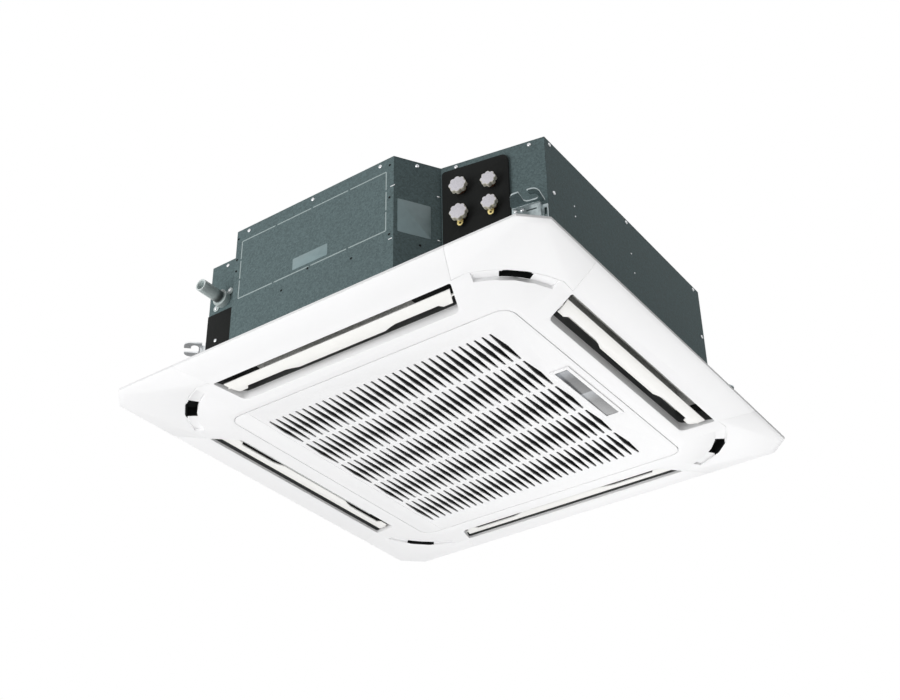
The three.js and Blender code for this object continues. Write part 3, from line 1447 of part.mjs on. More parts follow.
// A lug about its rod: +X points away from the casing, whose wall lies at -reach.
// The rod goes in at the slot's mouth and then sideways, behind the hook.
function hangerLug(reach, [left, right]) {
  const wall = -reach + GAP;
  const sheet = LUG_SHEET;
  const half = LUG_SLOT / 2;
  const front = Math.min(wall + LUG_STAND, -half - LUG_LAND);
  const tipLeft = Math.max(left, LUG_SIDES[0] + LUG_TAPER);
  const jaw = filleted(
    [
      xy(front - sheet, left),
      xy(LUG_TAPER_FROM, left),
      xy(LUG_TIP, tipLeft),
      xy(LUG_TIP, right),
      xy(front - sheet, right),
    ],
    [0, tipLeft > left ? LUG_ROUND / 2 : 0, LUG_ROUND, LUG_ROUND, 0],
  );
  const plate = (x0, x1, y0, y1) => box(x0, x1, y0, y1, -LUG_DROP, sheet);
  const end = LUG_FRONT_END;
  const [slitAt, slitZ] = LUG_SLIT_AT;
  const [slitLength, slitHeight] = LUG_SLIT.map((size) => size / 2);
  const [slotWidth, slotHeight] = LUG_FLANGE_SLOT.map((size) => size / 2);
  const slotAt = (end + right) / 2;
  const slotZ = -LUG_FLANGE_SLOT_DROP;
  const holes = LUG_HOLES.filter(([y]) => y > left + sheet + LUG_HOLE_R).map(([y, z]) =>
    rod(xyz(front - 2 * sheet, y, z), xyz(front + sheet, y, z), LUG_HOLE_R, SMALL),
  );
  return cut(
    join(
      prism(jaw, 0, sheet),
      plate(front - sheet, front, left, end),
      plate(wall, front, left, left + sheet),
      plate(wall, front, end - sheet, end),
      plate(wall, wall + sheet, end - sheet, right),
    ),
    upright(0, 0, -sheet, 2 * sheet, half, MIDDLE),
    upright(0, LUG_MOUTH, -sheet, 2 * sheet, half, MIDDLE),
    box(-half, half, LUG_MOUTH, 0, -sheet, 2 * sheet),
    box(0, LUG_TIP + 1, LUG_MOUTH - half, LUG_MOUTH + half, -sheet, 2 * sheet),
    box(
      front - 2 * sheet,
      front + 1,
      slitAt - slitLength,
      slitAt + slitLength,
      slitZ - slitHeight,
      slitZ + slitHeight,
    ),
    box(
      wall - 1,
      wall + 2 * sheet,
      slotAt - slotWidth,
      slotAt + slotWidth,
      slotZ - slotHeight,
      slotZ + slotHeight,
    ),
    holes,
  );
}

function controlBox() {
  const w = BOX_WALL;
  return cut(
    box(BOX_X[0], BOX_X[1], -BOX_HALF_Y, BOX_HALF_Y, 0, BOX_HEIGHT),
    box(BOX_X[0] + w, BOX_X[1] - w, -BOX_HALF_Y + w, BOX_HALF_Y - w, -1, BOX_HEIGHT - w),
  );
}

function controlBoard() {
  const x0 = BOX_X[0] + BOX_WALL + 1;
  const x1 = BOX_X[1] - BOX_WALL - 1;
  const half = BOX_HALF_Y - BOX_WALL - 1;
  const top = BOX_HEIGHT - BOX_WALL - GAP;
  const under = top - 4 - BOARD_THICKNESS;
  const part = (y0, y1, height, a = x0 + 6, b = x1 - 6) =>
    box(a, b, y0, y1, under - height, under + 0.5);
  const posts = [-half + 6, half - 6].map((y) => upright((x0 + x1) / 2, y, under, top, 3, 10));
  return join(
    box(x0, x1, -half, half, under, under + BOARD_THICKNESS),
    posts,
    part(-120, -86, BOARD_HEIGHT),
    part(-60, -30, 14, x0 + 10, x1 - 14),
    part(0, 26, 9, x0 + 16, x1 - 10),
    part(70, 130, 12, x0 + 4, x1 - 22),
  );
}

const controlBoxCover = () =>
  join(
    box(BOX_X[0], BOX_X[1], -BOX_HALF_Y, BOX_HALF_Y, -GAP - BOX_WALL, -GAP),
    box(BOX_X[0] + 18, BOX_X[1] - 18, -40, 40, -GAP - BOX_WALL - 1.5, -GAP),
  );

// ---------------------------------------------------------------- assembly

piece("return_grille", returnGrille(), whitePlastic);
piece("air_filter", airFilter(), filterNet);
piece("display_housing", displayHousing(), whitePlastic);
piece("display_lens", displayLens(), smokedPlastic);
[-LATCH_Y, LATCH_Y].forEach((y, i) => {
  piece("grille_latch_" + (i + 1), grilleLatch(y), innerPlastic);
});

// The four sides, counter-clockwise from the front.
const frame = panelFrame();
["front", "right", "back", "left"].forEach((side, k) => {
  piece("panel_frame_" + side, panelQuarter(frame, k), whitePlastic);
  const group = new THREE.Group();
  group.rotation.z = (k * Math.PI) / 2;
  unit.add(group);
  const axis = new THREE.Group();
  axis.position.set(0, -LOUVRE_PIVOT, -LOUVRE_PIVOT_DROP);
  group.add(axis);
  const louvre = piece("louvre_" + side, louvreBlade(), whitePlastic, axis);
  louvre.rotation.x = -LOUVRE_TILT * DEG;
  piece("louvre_motor_" + side, louvreMotor(), blackPlastic, axis);
  piece("corner_cover_" + (k + 1), cornerCover(), whitePlastic, group);
});

piece("top_plate", topPlate(), galvanised);
piece("front_wall", cut(wallSheet(10, 2), knockoutSlits()), galvanised);
piece("pipe_plate", pipePlate(), galvanised);
piece("right_back_wall", wallSheet(3, 6), galvanised);
piece("left_wall", leftWall(), galvanised);
piece("cable_grommet", grommet(), blackPlastic);
piece("insulation_liner", insulationLiner(), whiteFoam);
piece("drain_pan", drainPan(), whiteFoam);

piece("bell_mouth", bellMouth(), blackPlastic);
piece("impeller", impeller(), whitePlastic);
piece("motor_shaft", motorShaft(), zinc);
piece("fan_motor", fanMotor(), blackPlastic);
piece("coil", coil(), aluminium);

piece("pipe_foam", pipeFoam(), blackFoam, pipeFace);
piece("drain_foam", drainFoam(), blackFoam);
for (const water of pipes) {
  piece(water.name + "_pipe", waterPipe(water), copper);
  const cap = piece(water.name + "_cap", pipeCap(water.r), capPlastic, pipeFace);
  cap.position.set(water.along, CAP_BACK, water.z);
  cap.rotation.x = Math.PI / 2;
}
for (const water of pipes.filter(({ name }) => name.endsWith("supply"))) {
  const tab = piece(water.name + "_vent", ventTab(water.r), brass, pipeFace);
  tab.position.set(water.along, CAP_BACK + GAP + TAB_THICKNESS, water.z);
  tab.rotation.x = Math.PI / 2;
}

piece("drain_pump", drainPump(), whitePlastic);
piece("float_switch", floatSwitch(), whitePlastic);
piece("pump_float", pumpFloat(), capPlastic);
piece("drain_hose", pipe(hosePath, HOSE_R), hosePlastic);
piece("drain_stub", drainStub(), hosePlastic);

piece("control_box", controlBox(), zinc);
piece("control_board", controlBoard(), greenBoard);
piece("control_box_cover", controlBoxCover(), zinc);

// Each lug stands on one wall of the outline, given by its first corner.
const lugPlaces = [
  { name: "pipe_side", wall: 2, rod: xyz(ROD_X, -ROD_Y, LUG_FRONT_Z) },
  { name: "right_back", wall: 4, rod: xyz(ROD_X, ROD_Y, LUG_BACK_Z) },
  { name: "left_back", wall: 6, rod: xyz(-ROD_X, ROD_Y, LUG_BACK_Z) },
  { name: "drain_side", wall: 8, rod: xyz(-ROD_X, -ROD_Y, LUG_FRONT_Z) },
];
for (const { name, wall, rod: place } of lugPlaces) {
  const from = casingOutline[wall];
  const along = casingOutline[wall + 1].clone().sub(from);
  const length = along.length();
  along.normalize();
  const toRod = xy(place.x, place.y).sub(from);
  const reach = -along.cross(toRod);
  const foot = toRod.dot(along);
  const left = Math.max(LUG_SIDES[0], GAP - foot);
  const right = Math.min(LUG_SIDES[1], length - foot - GAP);
  const lug = piece("hanger_lug_" + name, hangerLug(reach, [left, right]), zinc);
  lug.position.copy(place);
  lug.rotation.z = Math.atan2(along.y, along.x) - Math.PI / 2;
}

export default unit;
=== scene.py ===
"""A four-way ceiling cassette air conditioner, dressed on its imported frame.

Lengths are metres, +Z is up and the origin is the panel's centre in the ceiling's plane.
"""

from math import atan2, cos, hypot, pi, radians, sin

import bpy
from mathutils import Matrix, Vector


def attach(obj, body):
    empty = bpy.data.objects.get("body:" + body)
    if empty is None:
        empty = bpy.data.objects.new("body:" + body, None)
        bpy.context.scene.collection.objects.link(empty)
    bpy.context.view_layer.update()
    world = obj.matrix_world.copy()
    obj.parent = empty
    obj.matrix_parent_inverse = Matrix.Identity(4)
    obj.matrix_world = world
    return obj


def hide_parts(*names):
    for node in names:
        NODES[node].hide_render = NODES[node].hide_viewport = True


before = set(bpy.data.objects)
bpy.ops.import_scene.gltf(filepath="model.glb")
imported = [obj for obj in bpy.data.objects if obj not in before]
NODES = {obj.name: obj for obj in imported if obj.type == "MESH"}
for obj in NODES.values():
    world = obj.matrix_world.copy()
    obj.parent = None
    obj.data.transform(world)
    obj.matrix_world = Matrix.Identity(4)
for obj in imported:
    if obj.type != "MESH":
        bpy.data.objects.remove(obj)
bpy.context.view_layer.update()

bl_info = {
    "name": "Ceiling cassette air conditioner",
    "version": (1, 0, 0),
    "blender": (4, 5, 0),
    "location": "View3D > Sidebar > Cassette",
    "description": "Dresses the frame of a ceiling cassette air conditioner",
    "category": "Object",
}

SIDES = ("front", "right", "back", "left")
MM = 0.001
MERGE = 0.005 * MM  # points this close are one
FLAT = radians(0.6)  # faces that turn less than this are one


# ---- settings


def colour(name, default, description):
    """A colour that a user may change."""
    return bpy.props.FloatVectorProperty(
        name=name, description=description, default=default, subtype="COLOR", size=3,
        min=0, max=1,
    )


def length(name, default, description):
    """A length that a user may change, in metres."""
    return bpy.props.FloatProperty(
        name=name, description=description, default=default, unit="LENGTH", min=0,
        precision=4,
    )


class CassetteColours(bpy.types.PropertyGroup):
    """Colours of the unit's finishes."""

    panel: colour("Panel", (0.885, 0.885, 0.89), "White of the air panel and its grille")
    louvre: colour("Louvres", (0.89, 0.885, 0.86), "Warmer white of the louvres")
    # The duct colour is painted shade: dark grey on the ducts' deep insides and on the sheets'
    # inner faces.
    duct: colour("Duct", (0.085, 0.088, 0.088), "Dark grey inside the ducts and behind the sheets")
    casing: colour("Casing", (0.130, 0.182, 0.187), "Grey-green of the coated sheet")
    foam: colour("Foam", (0.0085, 0.0095, 0.009), "Black of the closed-cell pads")
    cap: colour("Pipe caps", (0.80, 0.77, 0.66), "Ivory of the pipes' end caps")
    cap_face: colour("Cap faces", (0.80, 0.78, 0.83), "Lilac white of the caps' ends")
    backing: colour("Backing", (0.42, 0.50, 0.50), "Pale tape behind the knock-out's slits")
    label: colour("Label", (0.235, 0.33, 0.345), "Film of the two bare labels")
    window: colour("Window", (0.055, 0.058, 0.062), "Smoke of the display's window")
    drain: colour("Drain stub", (0.60, 0.68, 0.67), "Grey-green of the drain stub")


class CassetteSizes(bpy.types.PropertyGroup):
    """Sizes of the small parts that the frame leaves to the dressing."""

    edge: length("Edge", 0.0005, "Rounding of moulded edges")
    sheet_edge: length("Sheet edge", 0.00025, "Rounding of cut sheet-metal edges")
    screw: length("Screw head", 0.0038, "Radius of a casing screw's head")
    hole: length("Hole", 0.0024, "Radius of a pierced hole in the casing")
    floor_drop: length("Floor", 3.3, "Depth of the floor under the ceiling")


def colours():
    """The scene's colour settings."""
    return bpy.context.scene.cassette_colours


def sizes():
    """The scene's size settings."""
    return bpy.context.scene.cassette_sizes


# ---- materials


MIX_COLOURS, MIX_RESULT = (6, 7), 2  # a Mix node's sockets for colours


class Signal:
    """One output of a node; arithmetic on it adds Math nodes."""

    def __init__(self, tree, socket):
        self.tree = tree
        self.socket = socket

    def __add__(self, other):
        return self.tree.maths("ADD", self, other)

    __radd__ = __add__

    def __mul__(self, other):
        return self.tree.maths("MULTIPLY", self, other)

    __rmul__ = __mul__

    def __sub__(self, other):
        return self.tree.maths("SUBTRACT", self, other)

    def __rsub__(self, other):
        return self.tree.maths("SUBTRACT", other, self)

    def __truediv__(self, other):
        return self.tree.maths("DIVIDE", self, other)


class Tree:
    """A node tree, and the one way that nodes are added to it."""

    def __init__(self, tree):
        self.nodes = tree.nodes
        self.links = tree.links

    def node(self, kind, settings, values, output=0):
        """Adds a node with its settings, then its sockets' values or links."""
        made = self.nodes.new(kind)
        for name, value in settings.items():
            if name == "stops":
                for spot, (position, tone) in zip(made.color_ramp.elements, value):
                    spot.position = position
                    spot.color = (tone, tone, tone, 1)
            else:
                setattr(made, name, value)
        for name, value in values.items():
            self.give(made.inputs[name], value)
        return Signal(self, made.outputs[output])

    def give(self, socket, value):
        """Links a socket to a signal, or sets its value."""
        if isinstance(value, Signal):
            self.links.new(value.socket, socket)
        else:
            socket.default_value = value

    def maths(self, operation, first, second):
        """A Math node on two values."""
        return self.node("ShaderNodeMath", {"operation": operation}, {0: first, 1: second})


class Finish(Tree):
    """A material on one Principled shader, whose patterns follow Object coordinates."""

    def __init__(self, name, **constants):
        self.material = bpy.data.materials.new(name)
        self.material.use_nodes = True
        super().__init__(self.material.node_tree)
        self.shader = self.nodes["Principled BSDF"]
        self.feed(**constants)
        self.place = self.node("ShaderNodeTexCoord", {}, {}, "Object")

    def noise(self, scale, detail=2.0, roughness=0.5, place=None):
        """Cloudy pattern with about scale humps in a metre."""
        values = {
            "Vector": place or self.place, "Scale": scale, "Detail": detail,
            "Roughness": roughness,
        }
        return self.node("ShaderNodeTexNoise", {}, values)

    def cells(self, scale, output="Color"):
        """Patches of different shades, scale of them in a metre."""
        values = {"Vector": self.place, "Scale": scale}
        return self.node("ShaderNodeTexVoronoi", {}, values, output)

    def spangle(self, scale):
        """One grey value for each of the patches."""
        return self.node("ShaderNodeSeparateColor", {}, {"Color": self.cells(scale)}, 0)

    def waves(self, scale, direction):
        """Parallel bands across one axis."""
        settings = {"wave_type": "BANDS", "bands_direction": direction}
        values = {"Vector": self.place, "Scale": scale}
        return self.node("ShaderNodeTexWave", settings, values, "Fac")

    def stretched(self, scale):
        """Object coordinates drawn out along the axes."""
        return self.node("ShaderNodeMapping", {}, {"Vector": self.place, "Scale": scale})

    def along(self, axis):
        """One coordinate of the place."""
        return self.node("ShaderNodeSeparateXYZ", {}, {"Vector": self.place}, axis)

    def ramp(self, value, *stops):
        """A value turned into a grey between two stops, each a value and its grey."""
        return self.node("ShaderNodeValToRGB", {"stops": stops}, {"Fac": value})

    def blend(self, mask, first, second):
        """first where the mask is 0 and second where it is 1."""
        pair = {0: mask}
        for socket, tone in zip(MIX_COLOURS, (first, second)):
            pair[socket] = tone if isinstance(tone, Signal) else (*tone, 1)
        return self.node("ShaderNodeMix", {"data_type": "RGBA"}, pair, MIX_RESULT)

    def feed(self, **sockets):
        """Links or sets the shader's sockets."""
        for name, value in sockets.items():
            self.give(self.shader.inputs[name.replace("_", " ")], value)

    def tint(self, mask, base, low, high):
        """Colours the surface between two shades of one colour."""
        self.feed(Base_Color=self.blend(mask, *shades(base, low, high)))

    def bumped(self, height, strength, depth):
        """Turns a height pattern into relief of that depth in metres."""
        values = {"Height": height, "Strength": strength, "Distance": depth}
        self.feed(Normal=self.node("ShaderNodeBump", {}, values, "Normal"))


def shade(base, factor):
    """A colour made lighter or darker."""
    return tuple(min(1, c * factor) for c in base)


def shades(base, low, high):
    """A darker and a lighter shade of a colour."""
    return shade(base, low), shade(base, high)


def mottled(name, noise, tones, roughness, relief, grain=None, metal=None, **constants):
    """A finish whose colour, shine and metal follow one cloudy pattern.

    Roughness and metal are a least value and a swing, and the relief is a strength and a depth.
    Without a grain of its own the relief follows the pattern too.
    """
    f = Finish(name, **constants)
    cloud = f.noise(*noise)
    f.feed(Base_Color=f.blend(cloud, *tones), Roughness=roughness[0] + roughness[1] * cloud)
    if metal:
        f.feed(Metallic=metal[0] + metal[1] * cloud)
    f.bumped(f.noise(*grain) if grain else cloud, *relief)
    return f.material


def panel_plastic():
    """White moulded plastic: fine spark grain, a faint cloudiness and a satin sheen."""
    f = Finish("panel_plastic", IOR=1.49)
    cloud = f.noise(9, 3)
    mottle = f.noise(70, 3, 0.6)
    f.tint(cloud * 0.6 + mottle * 0.4, colours().panel, 0.975, 1.02)
    f.feed(Roughness=0.33 + 0.10 * mottle)
    f.bumped(f.noise(1500, 2, 0.6) + f.noise(300, 2) * 0.4, 0.16, 0.00012)
    return f.material


def louvre_plastic():
    """The panel's plastic in the louvres' warmer white."""
    return mottled(
        "louvre_plastic", (60, 3, 0.6), shades(colours().louvre, 0.965, 1.03),
        (0.30, 0.12), (0.14, 0.0001), grain=(1500, 2, 0.6), IOR=1.49,
    )


def painted_duct_shade():
    """Painted shade: dark grey with a fine nap, for the ducts' deep insides and the sheets' inner
    faces.
    """
    return mottled(
        "painted_duct_shade", (900, 3, 0.65), shades(colours().duct, 0.6, 1.6),
        (0.85, 0.1), (0.5, 0.0003), Specular_IOR_Level=0.12,
    )


def inner_plastic():
    """Plain white plastic of the parts behind the panel, a little greyer."""
    return mottled(
        "inner_plastic", (25, 3), ((0.66, 0.66, 0.65), (0.76, 0.76, 0.75)),
        (0.45, 0.15), (0.15, 0.0001), grain=(1200, 2), IOR=1.47,
    )


def coated_sheet():
    """Coated galvanised steel: small dull spangle, fine speckle and a slow drift of tone."""
    f = Finish("coated_sheet", Specular_IOR_Level=0.06)
    base = colours().casing
    spangle = f.spangle(310)
    speckle = f.noise(620, 3, 0.7)
    drift = f.noise(7, 3)
    body = f.blend(spangle * 0.45 + speckle * 0.55, *shades(base, 0.60, 1.44))
    body = f.blend(f.ramp(speckle, (0.60, 0.0), (0.72, 1.0)) * 0.35, body, shade(base, 2.3))
    body = f.blend(drift * 0.25, body, tuple(c * k for c, k in zip(base, (0.86, 0.72, 0.74))))
    f.feed(Base_Color=body)
    f.feed(Roughness=0.46 + 0.22 * spangle, Metallic=0.01 + 0.05 * spangle)
    f.bumped(speckle + spangle * 0.4, 0.22, 0.00015)
    return f.material


def zinc_plate():
    """Zinc-plated steel with small spangles and brushed streaks."""
    f = Finish("zinc_plate")
    spangle = f.spangle(240)
    streak = f.noise(300, 2, 0.5, f.stretched((1, 1, 0.12)))
    f.feed(Base_Color=f.blend(spangle * 0.5 + streak * 0.5, (0.34, 0.40, 0.41), (0.52, 0.59, 0.60)))
    f.feed(Metallic=0.70 + 0.1 * spangle, Roughness=0.24 + 0.12 * streak)
    f.bumped(streak, 0.05, 0.00005)
    return f.material


def black_foam():
    """Closed-cell rubber foam: pitted skin, almost no shine."""
    f = Finish("black_foam", Specular_IOR_Level=0.25)
    pits = f.cells(900, "Distance")
    cloud = f.noise(60, 4, 0.6)
    f.tint(cloud, colours().foam, 0.7, 1.5)
    f.feed(Roughness=0.78 + 0.15 * cloud)
    f.bumped(pits + cloud * 0.6, 0.6, 0.0004)
    return f.material


def white_foam():
    """Expanded polystyrene: packed beads with dark gaps between them."""
    f = Finish("white_foam", Specular_IOR_Level=0.3)
    beads = f.cells(330, "Distance")
    gap = f.ramp(beads, (0.35, 1.0), (0.75, 0.0))
    tone = f.noise(40, 3)
    f.feed(Base_Color=f.blend(gap * 0.8 + tone * 0.2, (0.62, 0.62, 0.60), (0.82, 0.82, 0.80)))
    f.feed(Roughness=0.7 + 0.1 * tone)
    f.bumped(beads * -1, 0.5, 0.0004)
    return f.material


def black_plastic():
    """Glass-filled black plastic of the bell mouth, the small motors and the grommet."""
    f = Finish("black_plastic", IOR=1.5)
    flow = f.noise(160, 4, 0.6, f.stretched((1, 1, 0.25)))
    f.feed(Base_Color=f.blend(flow, (0.012, 0.012, 0.013), (0.035, 0.036, 0.038)))
    f.feed(Roughness=0.38 + 0.22 * flow)
    f.bumped(f.noise(1400, 2), 0.2, 0.00012)
    return f.material


WINDOW_HALF = 0.0875  # half the length of the display's window
WINDOW_PATCHES = 0.0, 0.087  # where the receiver and the lamps start, from its end


def smoked_window():
    """Smoked glossy window, paler over the receiver at its end and the lamps by its middle."""
    f = Finish("smoked_window", IOR=1.5, Coat_Weight=0.6, Coat_Roughness=0.04)
    smudge = f.noise(120, 4, 0.6)
    base = colours().window
    along = f.along("Y") + WINDOW_HALF
    pale = 0
    for start in WINDOW_PATCHES:
        near = f.ramp(along - start, (0.0, 0.0), (0.003, 1.0))
        pale = pale + near * f.ramp(along - start + smudge * 0.012, (0.012, 1.0), (0.040, 0.0))
    smoke = f.blend(smudge, *shades(base, 0.70, 1.45))
    f.feed(Base_Color=f.blend(pale, smoke, shade(base, 5.2)))
    f.feed(Roughness=0.10 + 0.12 * smudge)
    f.bumped(f.noise(900, 2), 0.05, 0.0001)
    return f.material


DRAIN_WALL_Y = 0.361  # how far the wall with the drain stub is in front of the centre


def drain_plastic():
    """Milky grey-green plastic of the drain stub, dark by the wall and pale at its end."""
    f = Finish("drain_plastic", IOR=1.47, Specular_IOR_Level=0.6)
    base = colours().drain
    cloud = f.noise(45, 4, 0.6)
    depth = f.along("Y") * -1 - DRAIN_WALL_Y
    body = f.blend(cloud, *shades(base, 0.78, 1.35))
    shadow = f.ramp(depth, (0.013, 0.0), (0.0145, 1.0)) * f.ramp(depth, (0.022, 1.0), (0.030, 0.0))
    body = f.blend(shadow * 0.85, body, (0.012, 0.014, 0.014))
    end = f.ramp(depth, (0.058, 0.0), (0.066, 1.0))
    f.feed(Base_Color=f.blend(end * 0.5, body, shade(base, 1.6)))
    f.feed(Roughness=0.16 + 0.12 * cloud, Alpha=0.86 + 0.08 * cloud)
    f.bumped(cloud, 0.1, 0.0002)
    return f.material


def cap_plastic():
    """Ivory moulded cap."""
    return mottled(
        "cap_plastic", (120, 3), shades(colours().cap, 0.86, 1.08),
        (0.36, 0.15), (0.15, 0.0001), grain=(1300, 2), IOR=1.47,
    )


def cap_face():
    """Knurled lilac-white end of a cap."""
    f = Finish("cap_face", IOR=1.47)
    knurl = f.cells(520, "Distance")
    cloud = f.noise(200, 3)
    f.tint(knurl * 0.5 + cloud * 0.5, colours().cap_face, 0.78, 1.18)
    f.feed(Roughness=0.42 + 0.2 * cloud)
    f.bumped(knurl, 0.5, 0.0004)
    return f.material


def pale_tape():
    """Pale cloth tape that closes the knock-out's slits from inside."""
    f = Finish("pale_tape", Specular_IOR_Level=0.3)
    weave = f.waves(420, "X") * 0.5 + f.waves(420, "Z") * 0.5
    cloud = f.noise(150, 3)
    f.tint(weave * 0.4 + cloud * 0.6, colours().backing, 0.8, 1.2)
    f.feed(Roughness=0.55 + 0.15 * cloud)
    f.bumped(weave, 0.3, 0.0001)
    return f.material


def brass():
    """Turned brass with fine rings and warm tarnish."""
    return mottled(
        "brass", (140, 4, 0.6), ((0.74, 0.58, 0.20), (0.94, 0.82, 0.42)),
        (0.22, 0.2), (0.12, 0.0001), grain=(900, 3), metal=(0.9, 0.08),
    )


def copper():
    """Drawn copper with dark patches of heat."""
    return mottled(
        "copper", (60, 4, 0.6), ((0.42, 0.17, 0.09), (0.86, 0.44, 0.27)),
        (0.22, 0.22), (0.1, 0.0001), grain=(700, 3), metal=(0.92, 0.06),
    )


FIN_PITCH = 0.0035  # half the angle between the lines of the fins, in radians
TUBE_PITCH = 0.0105  # half the height between the coil's rows of tubes


def coil_fins():
    """Packed aluminium fins, seen as close vertical lines with painted shade in the gaps between
    them.
    """
    f = Finish("coil_fins")
    angle = f.maths("ARCTAN2", f.along("Y"), f.along("X"))
    line = f.maths("PINGPONG", angle, FIN_PITCH) / FIN_PITCH
    row = f.maths("PINGPONG", f.along("Z"), TUBE_PITCH) / TUBE_PITCH
    tone = f.noise(30, 3)
    # The dark between the fins' lines is painted shade in the gaps.
    fins_and_gap_shade = line * 0.7 + row * 0.15 + tone * 0.15
    f.feed(Base_Color=f.blend(fins_and_gap_shade, (0.16, 0.17, 0.17), (0.78, 0.80, 0.80)))
    f.feed(Metallic=0.75 + 0.2 * tone, Roughness=0.30 + 0.15 * tone)
    f.bumped(line, 0.5, 0.0004)
    return f.material


def motor_shell():
    """Cast aluminium of the fan motor."""
    return mottled(
        "motor_shell", (220, 5, 0.65), ((0.36, 0.37, 0.38), (0.62, 0.63, 0.64)),
        (0.38, 0.25), (0.3, 0.0002), metal=(0.8, 0.1),
    )


def hose_rubber():
    """Grey flexible hose with a dusty bloom."""
    return mottled(
        "hose_rubber", (80, 4, 0.6), ((0.16, 0.17, 0.18), (0.30, 0.31, 0.32)),
        (0.5, 0.2), (0.2, 0.00012), grain=(900, 2), IOR=1.48,
    )


def board_laminate():
    """Green circuit board with fine tracks."""
    f = Finish("board_laminate", IOR=1.5)
    track = f.ramp(f.cells(420, "Distance"), (0.18, 1.0), (0.24, 0.0))
    f.feed(Base_Color=f.blend(track, (0.02, 0.12, 0.05), (0.05, 0.24, 0.10)))
    f.feed(Roughness=0.3 + 0.2 * track)
    f.bumped(track, 0.2, 0.0001)
    return f.material


def filter_mesh():
    """Woven dust filter in near-black thread."""
    f = Finish("filter_mesh", Specular_IOR_Level=0.3)
    thread = f.maths("MAXIMUM", f.waves(320, "X"), f.waves(320, "Y"))
    f.feed(Base_Color=f.blend(thread, (0.004, 0.004, 0.004), (0.016, 0.017, 0.018)))
    f.feed(Roughness=0.7 + 0.2 * f.noise(40, 3))
    f.bumped(thread, 0.6, 0.0004)
    return f.material


def bright_steel():
    """Bright plated steel of the screws and the lug by the drain; on that lug its brightness is a
    painted reflection of the bright floor.
    """
    return mottled(
        "bright_steel", (700, 3, 0.6), ((0.70, 0.72, 0.74), (0.95, 0.96, 0.97)),
        (0.22, 0.16), (0.1, 0.0001), metal=(0.8, 0.15),
    )


def label_film():
    """Pale blue-green film with nothing printed on it."""
    return mottled(
        "label_film", (60, 3), shades(colours().label, 0.84, 1.14),
        (0.24, 0.12), (0.06, 0.0001), grain=(500, 2), IOR=1.5,
    )


def painted_hole_shade():
    """Painted shade for the darkness inside a pierced hole and in the corner outlets' open middles.
    """
    f = Finish("painted_hole_shade", Specular_IOR_Level=0.1)
    dust_and_shade = f.noise(500, 3)
    f.feed(Base_Color=f.blend(dust_and_shade, (0.004, 0.004, 0.004), (0.02, 0.022, 0.022)))
    f.feed(Roughness=0.8 + 0.1 * dust_and_shade)
    return f.material


FINISHES = {
    "panel": panel_plastic, "louvre": louvre_plastic, "duct": painted_duct_shade,
    "tape": pale_tape, "cap_face": cap_face, "inner": inner_plastic,
    "sheet": coated_sheet, "zinc": zinc_plate, "foam": black_foam,
    "white_foam": white_foam, "black": black_plastic,
    "window": smoked_window, "drain": drain_plastic, "cap": cap_plastic,
    "brass": brass, "copper": copper, "fins": coil_fins, "motor": motor_shell,
    "hose": hose_rubber, "board": board_laminate, "filter": filter_mesh,
    "screw": bright_steel, "hole": painted_hole_shade, "label": label_film,
}
made_finishes = {}


def finish_of(name):
    """The finish of that name, made the first time it is asked for."""
    if name not in made_finishes:
        made_finishes[name] = FINISHES[name]()
    return made_finishes[name]


def coat(piece, *names):
    """Gives a piece its finishes, in the order of its material slots."""
    piece.data.materials.clear()
    for name in names:
        piece.data.materials.append(finish_of(name))


# ---- modelling


def only(piece):
    """Selects this piece alone, in object mode."""
    if bpy.context.object and bpy.context.object.mode != "OBJECT":
        bpy.ops.object.mode_set(mode="OBJECT")
    bpy.ops.object.select_all(action="DESELECT")
    piece.select_set(True)
    bpy.context.view_layer.objects.active = piece


def edit_all(piece):
    """Goes into edit mode with the whole mesh selected."""
    only(piece)
    bpy.ops.object.mode_set(mode="EDIT")
    bpy.ops.mesh.select_all(action="SELECT")


def pick(piece, wanted, what="FACE"):
    """Goes into edit mode with the faces, edges or points that wanted() accepts."""
    only(piece)
    bpy.ops.object.mode_set(mode="EDIT")
    bpy.ops.mesh.select_mode(type=what)
    bpy.ops.mesh.select_all(action="DESELECT")
    bpy.ops.object.mode_set(mode="OBJECT")
    mesh = piece.data
    if what == "FACE":
        for face in mesh.polygons:
            face.select = wanted(face.center, face.normal)
    elif what == "EDGE":
        for edge in mesh.edges:
            edge.select = wanted(*[mesh.vertices[v].co for v in edge.vertices])
    else:
        for vertex in mesh.vertices:
            vertex.select = wanted(vertex.co)
    bpy.ops.object.mode_set(mode="EDIT")


def leave():
    """Back to object mode."""
    bpy.ops.object.mode_set(mode="OBJECT")


def applied(piece, kind, **settings):
    """Adds a modifier and applies it."""
    only(piece)
    modifier = piece.modifiers.new(kind.lower(), kind)
    for name, value in settings.items():
        setattr(modifier, name, value)
    bpy.ops.object.modifier_apply(modifier=modifier.name)
    return piece


def settle(piece):
    """Puts a piece's place into its mesh."""
    only(piece)
    bpy.ops.object.transform_apply(location=True, rotation=True, scale=True)
    return piece


def smooth(piece, angle=36):
    """Smooth shading with edges sharper than the angle kept."""
    only(piece)
    bpy.ops.object.shade_smooth_by_angle(angle=radians(angle))


def rounded(piece, width, segments=2, angle=40):
    """Rounds the edges sharper than the angle; the width is in metres."""
    return applied(
        piece, "BEVEL", width=width, segments=segments, limit_method="ANGLE",
        angle_limit=radians(angle),
    )


def merged(node):
    """A copy of a frame node with its loose triangles merged, in edit mode."""
    piece = NODES[node].copy()
    piece.data = piece.data.copy()
    piece.parent = None
    for key in list(piece.keys()):
        del piece[key]
    bpy.context.scene.collection.objects.link(piece)
    edit_all(piece)
    bpy.ops.mesh.remove_doubles(threshold=MERGE)
    return piece


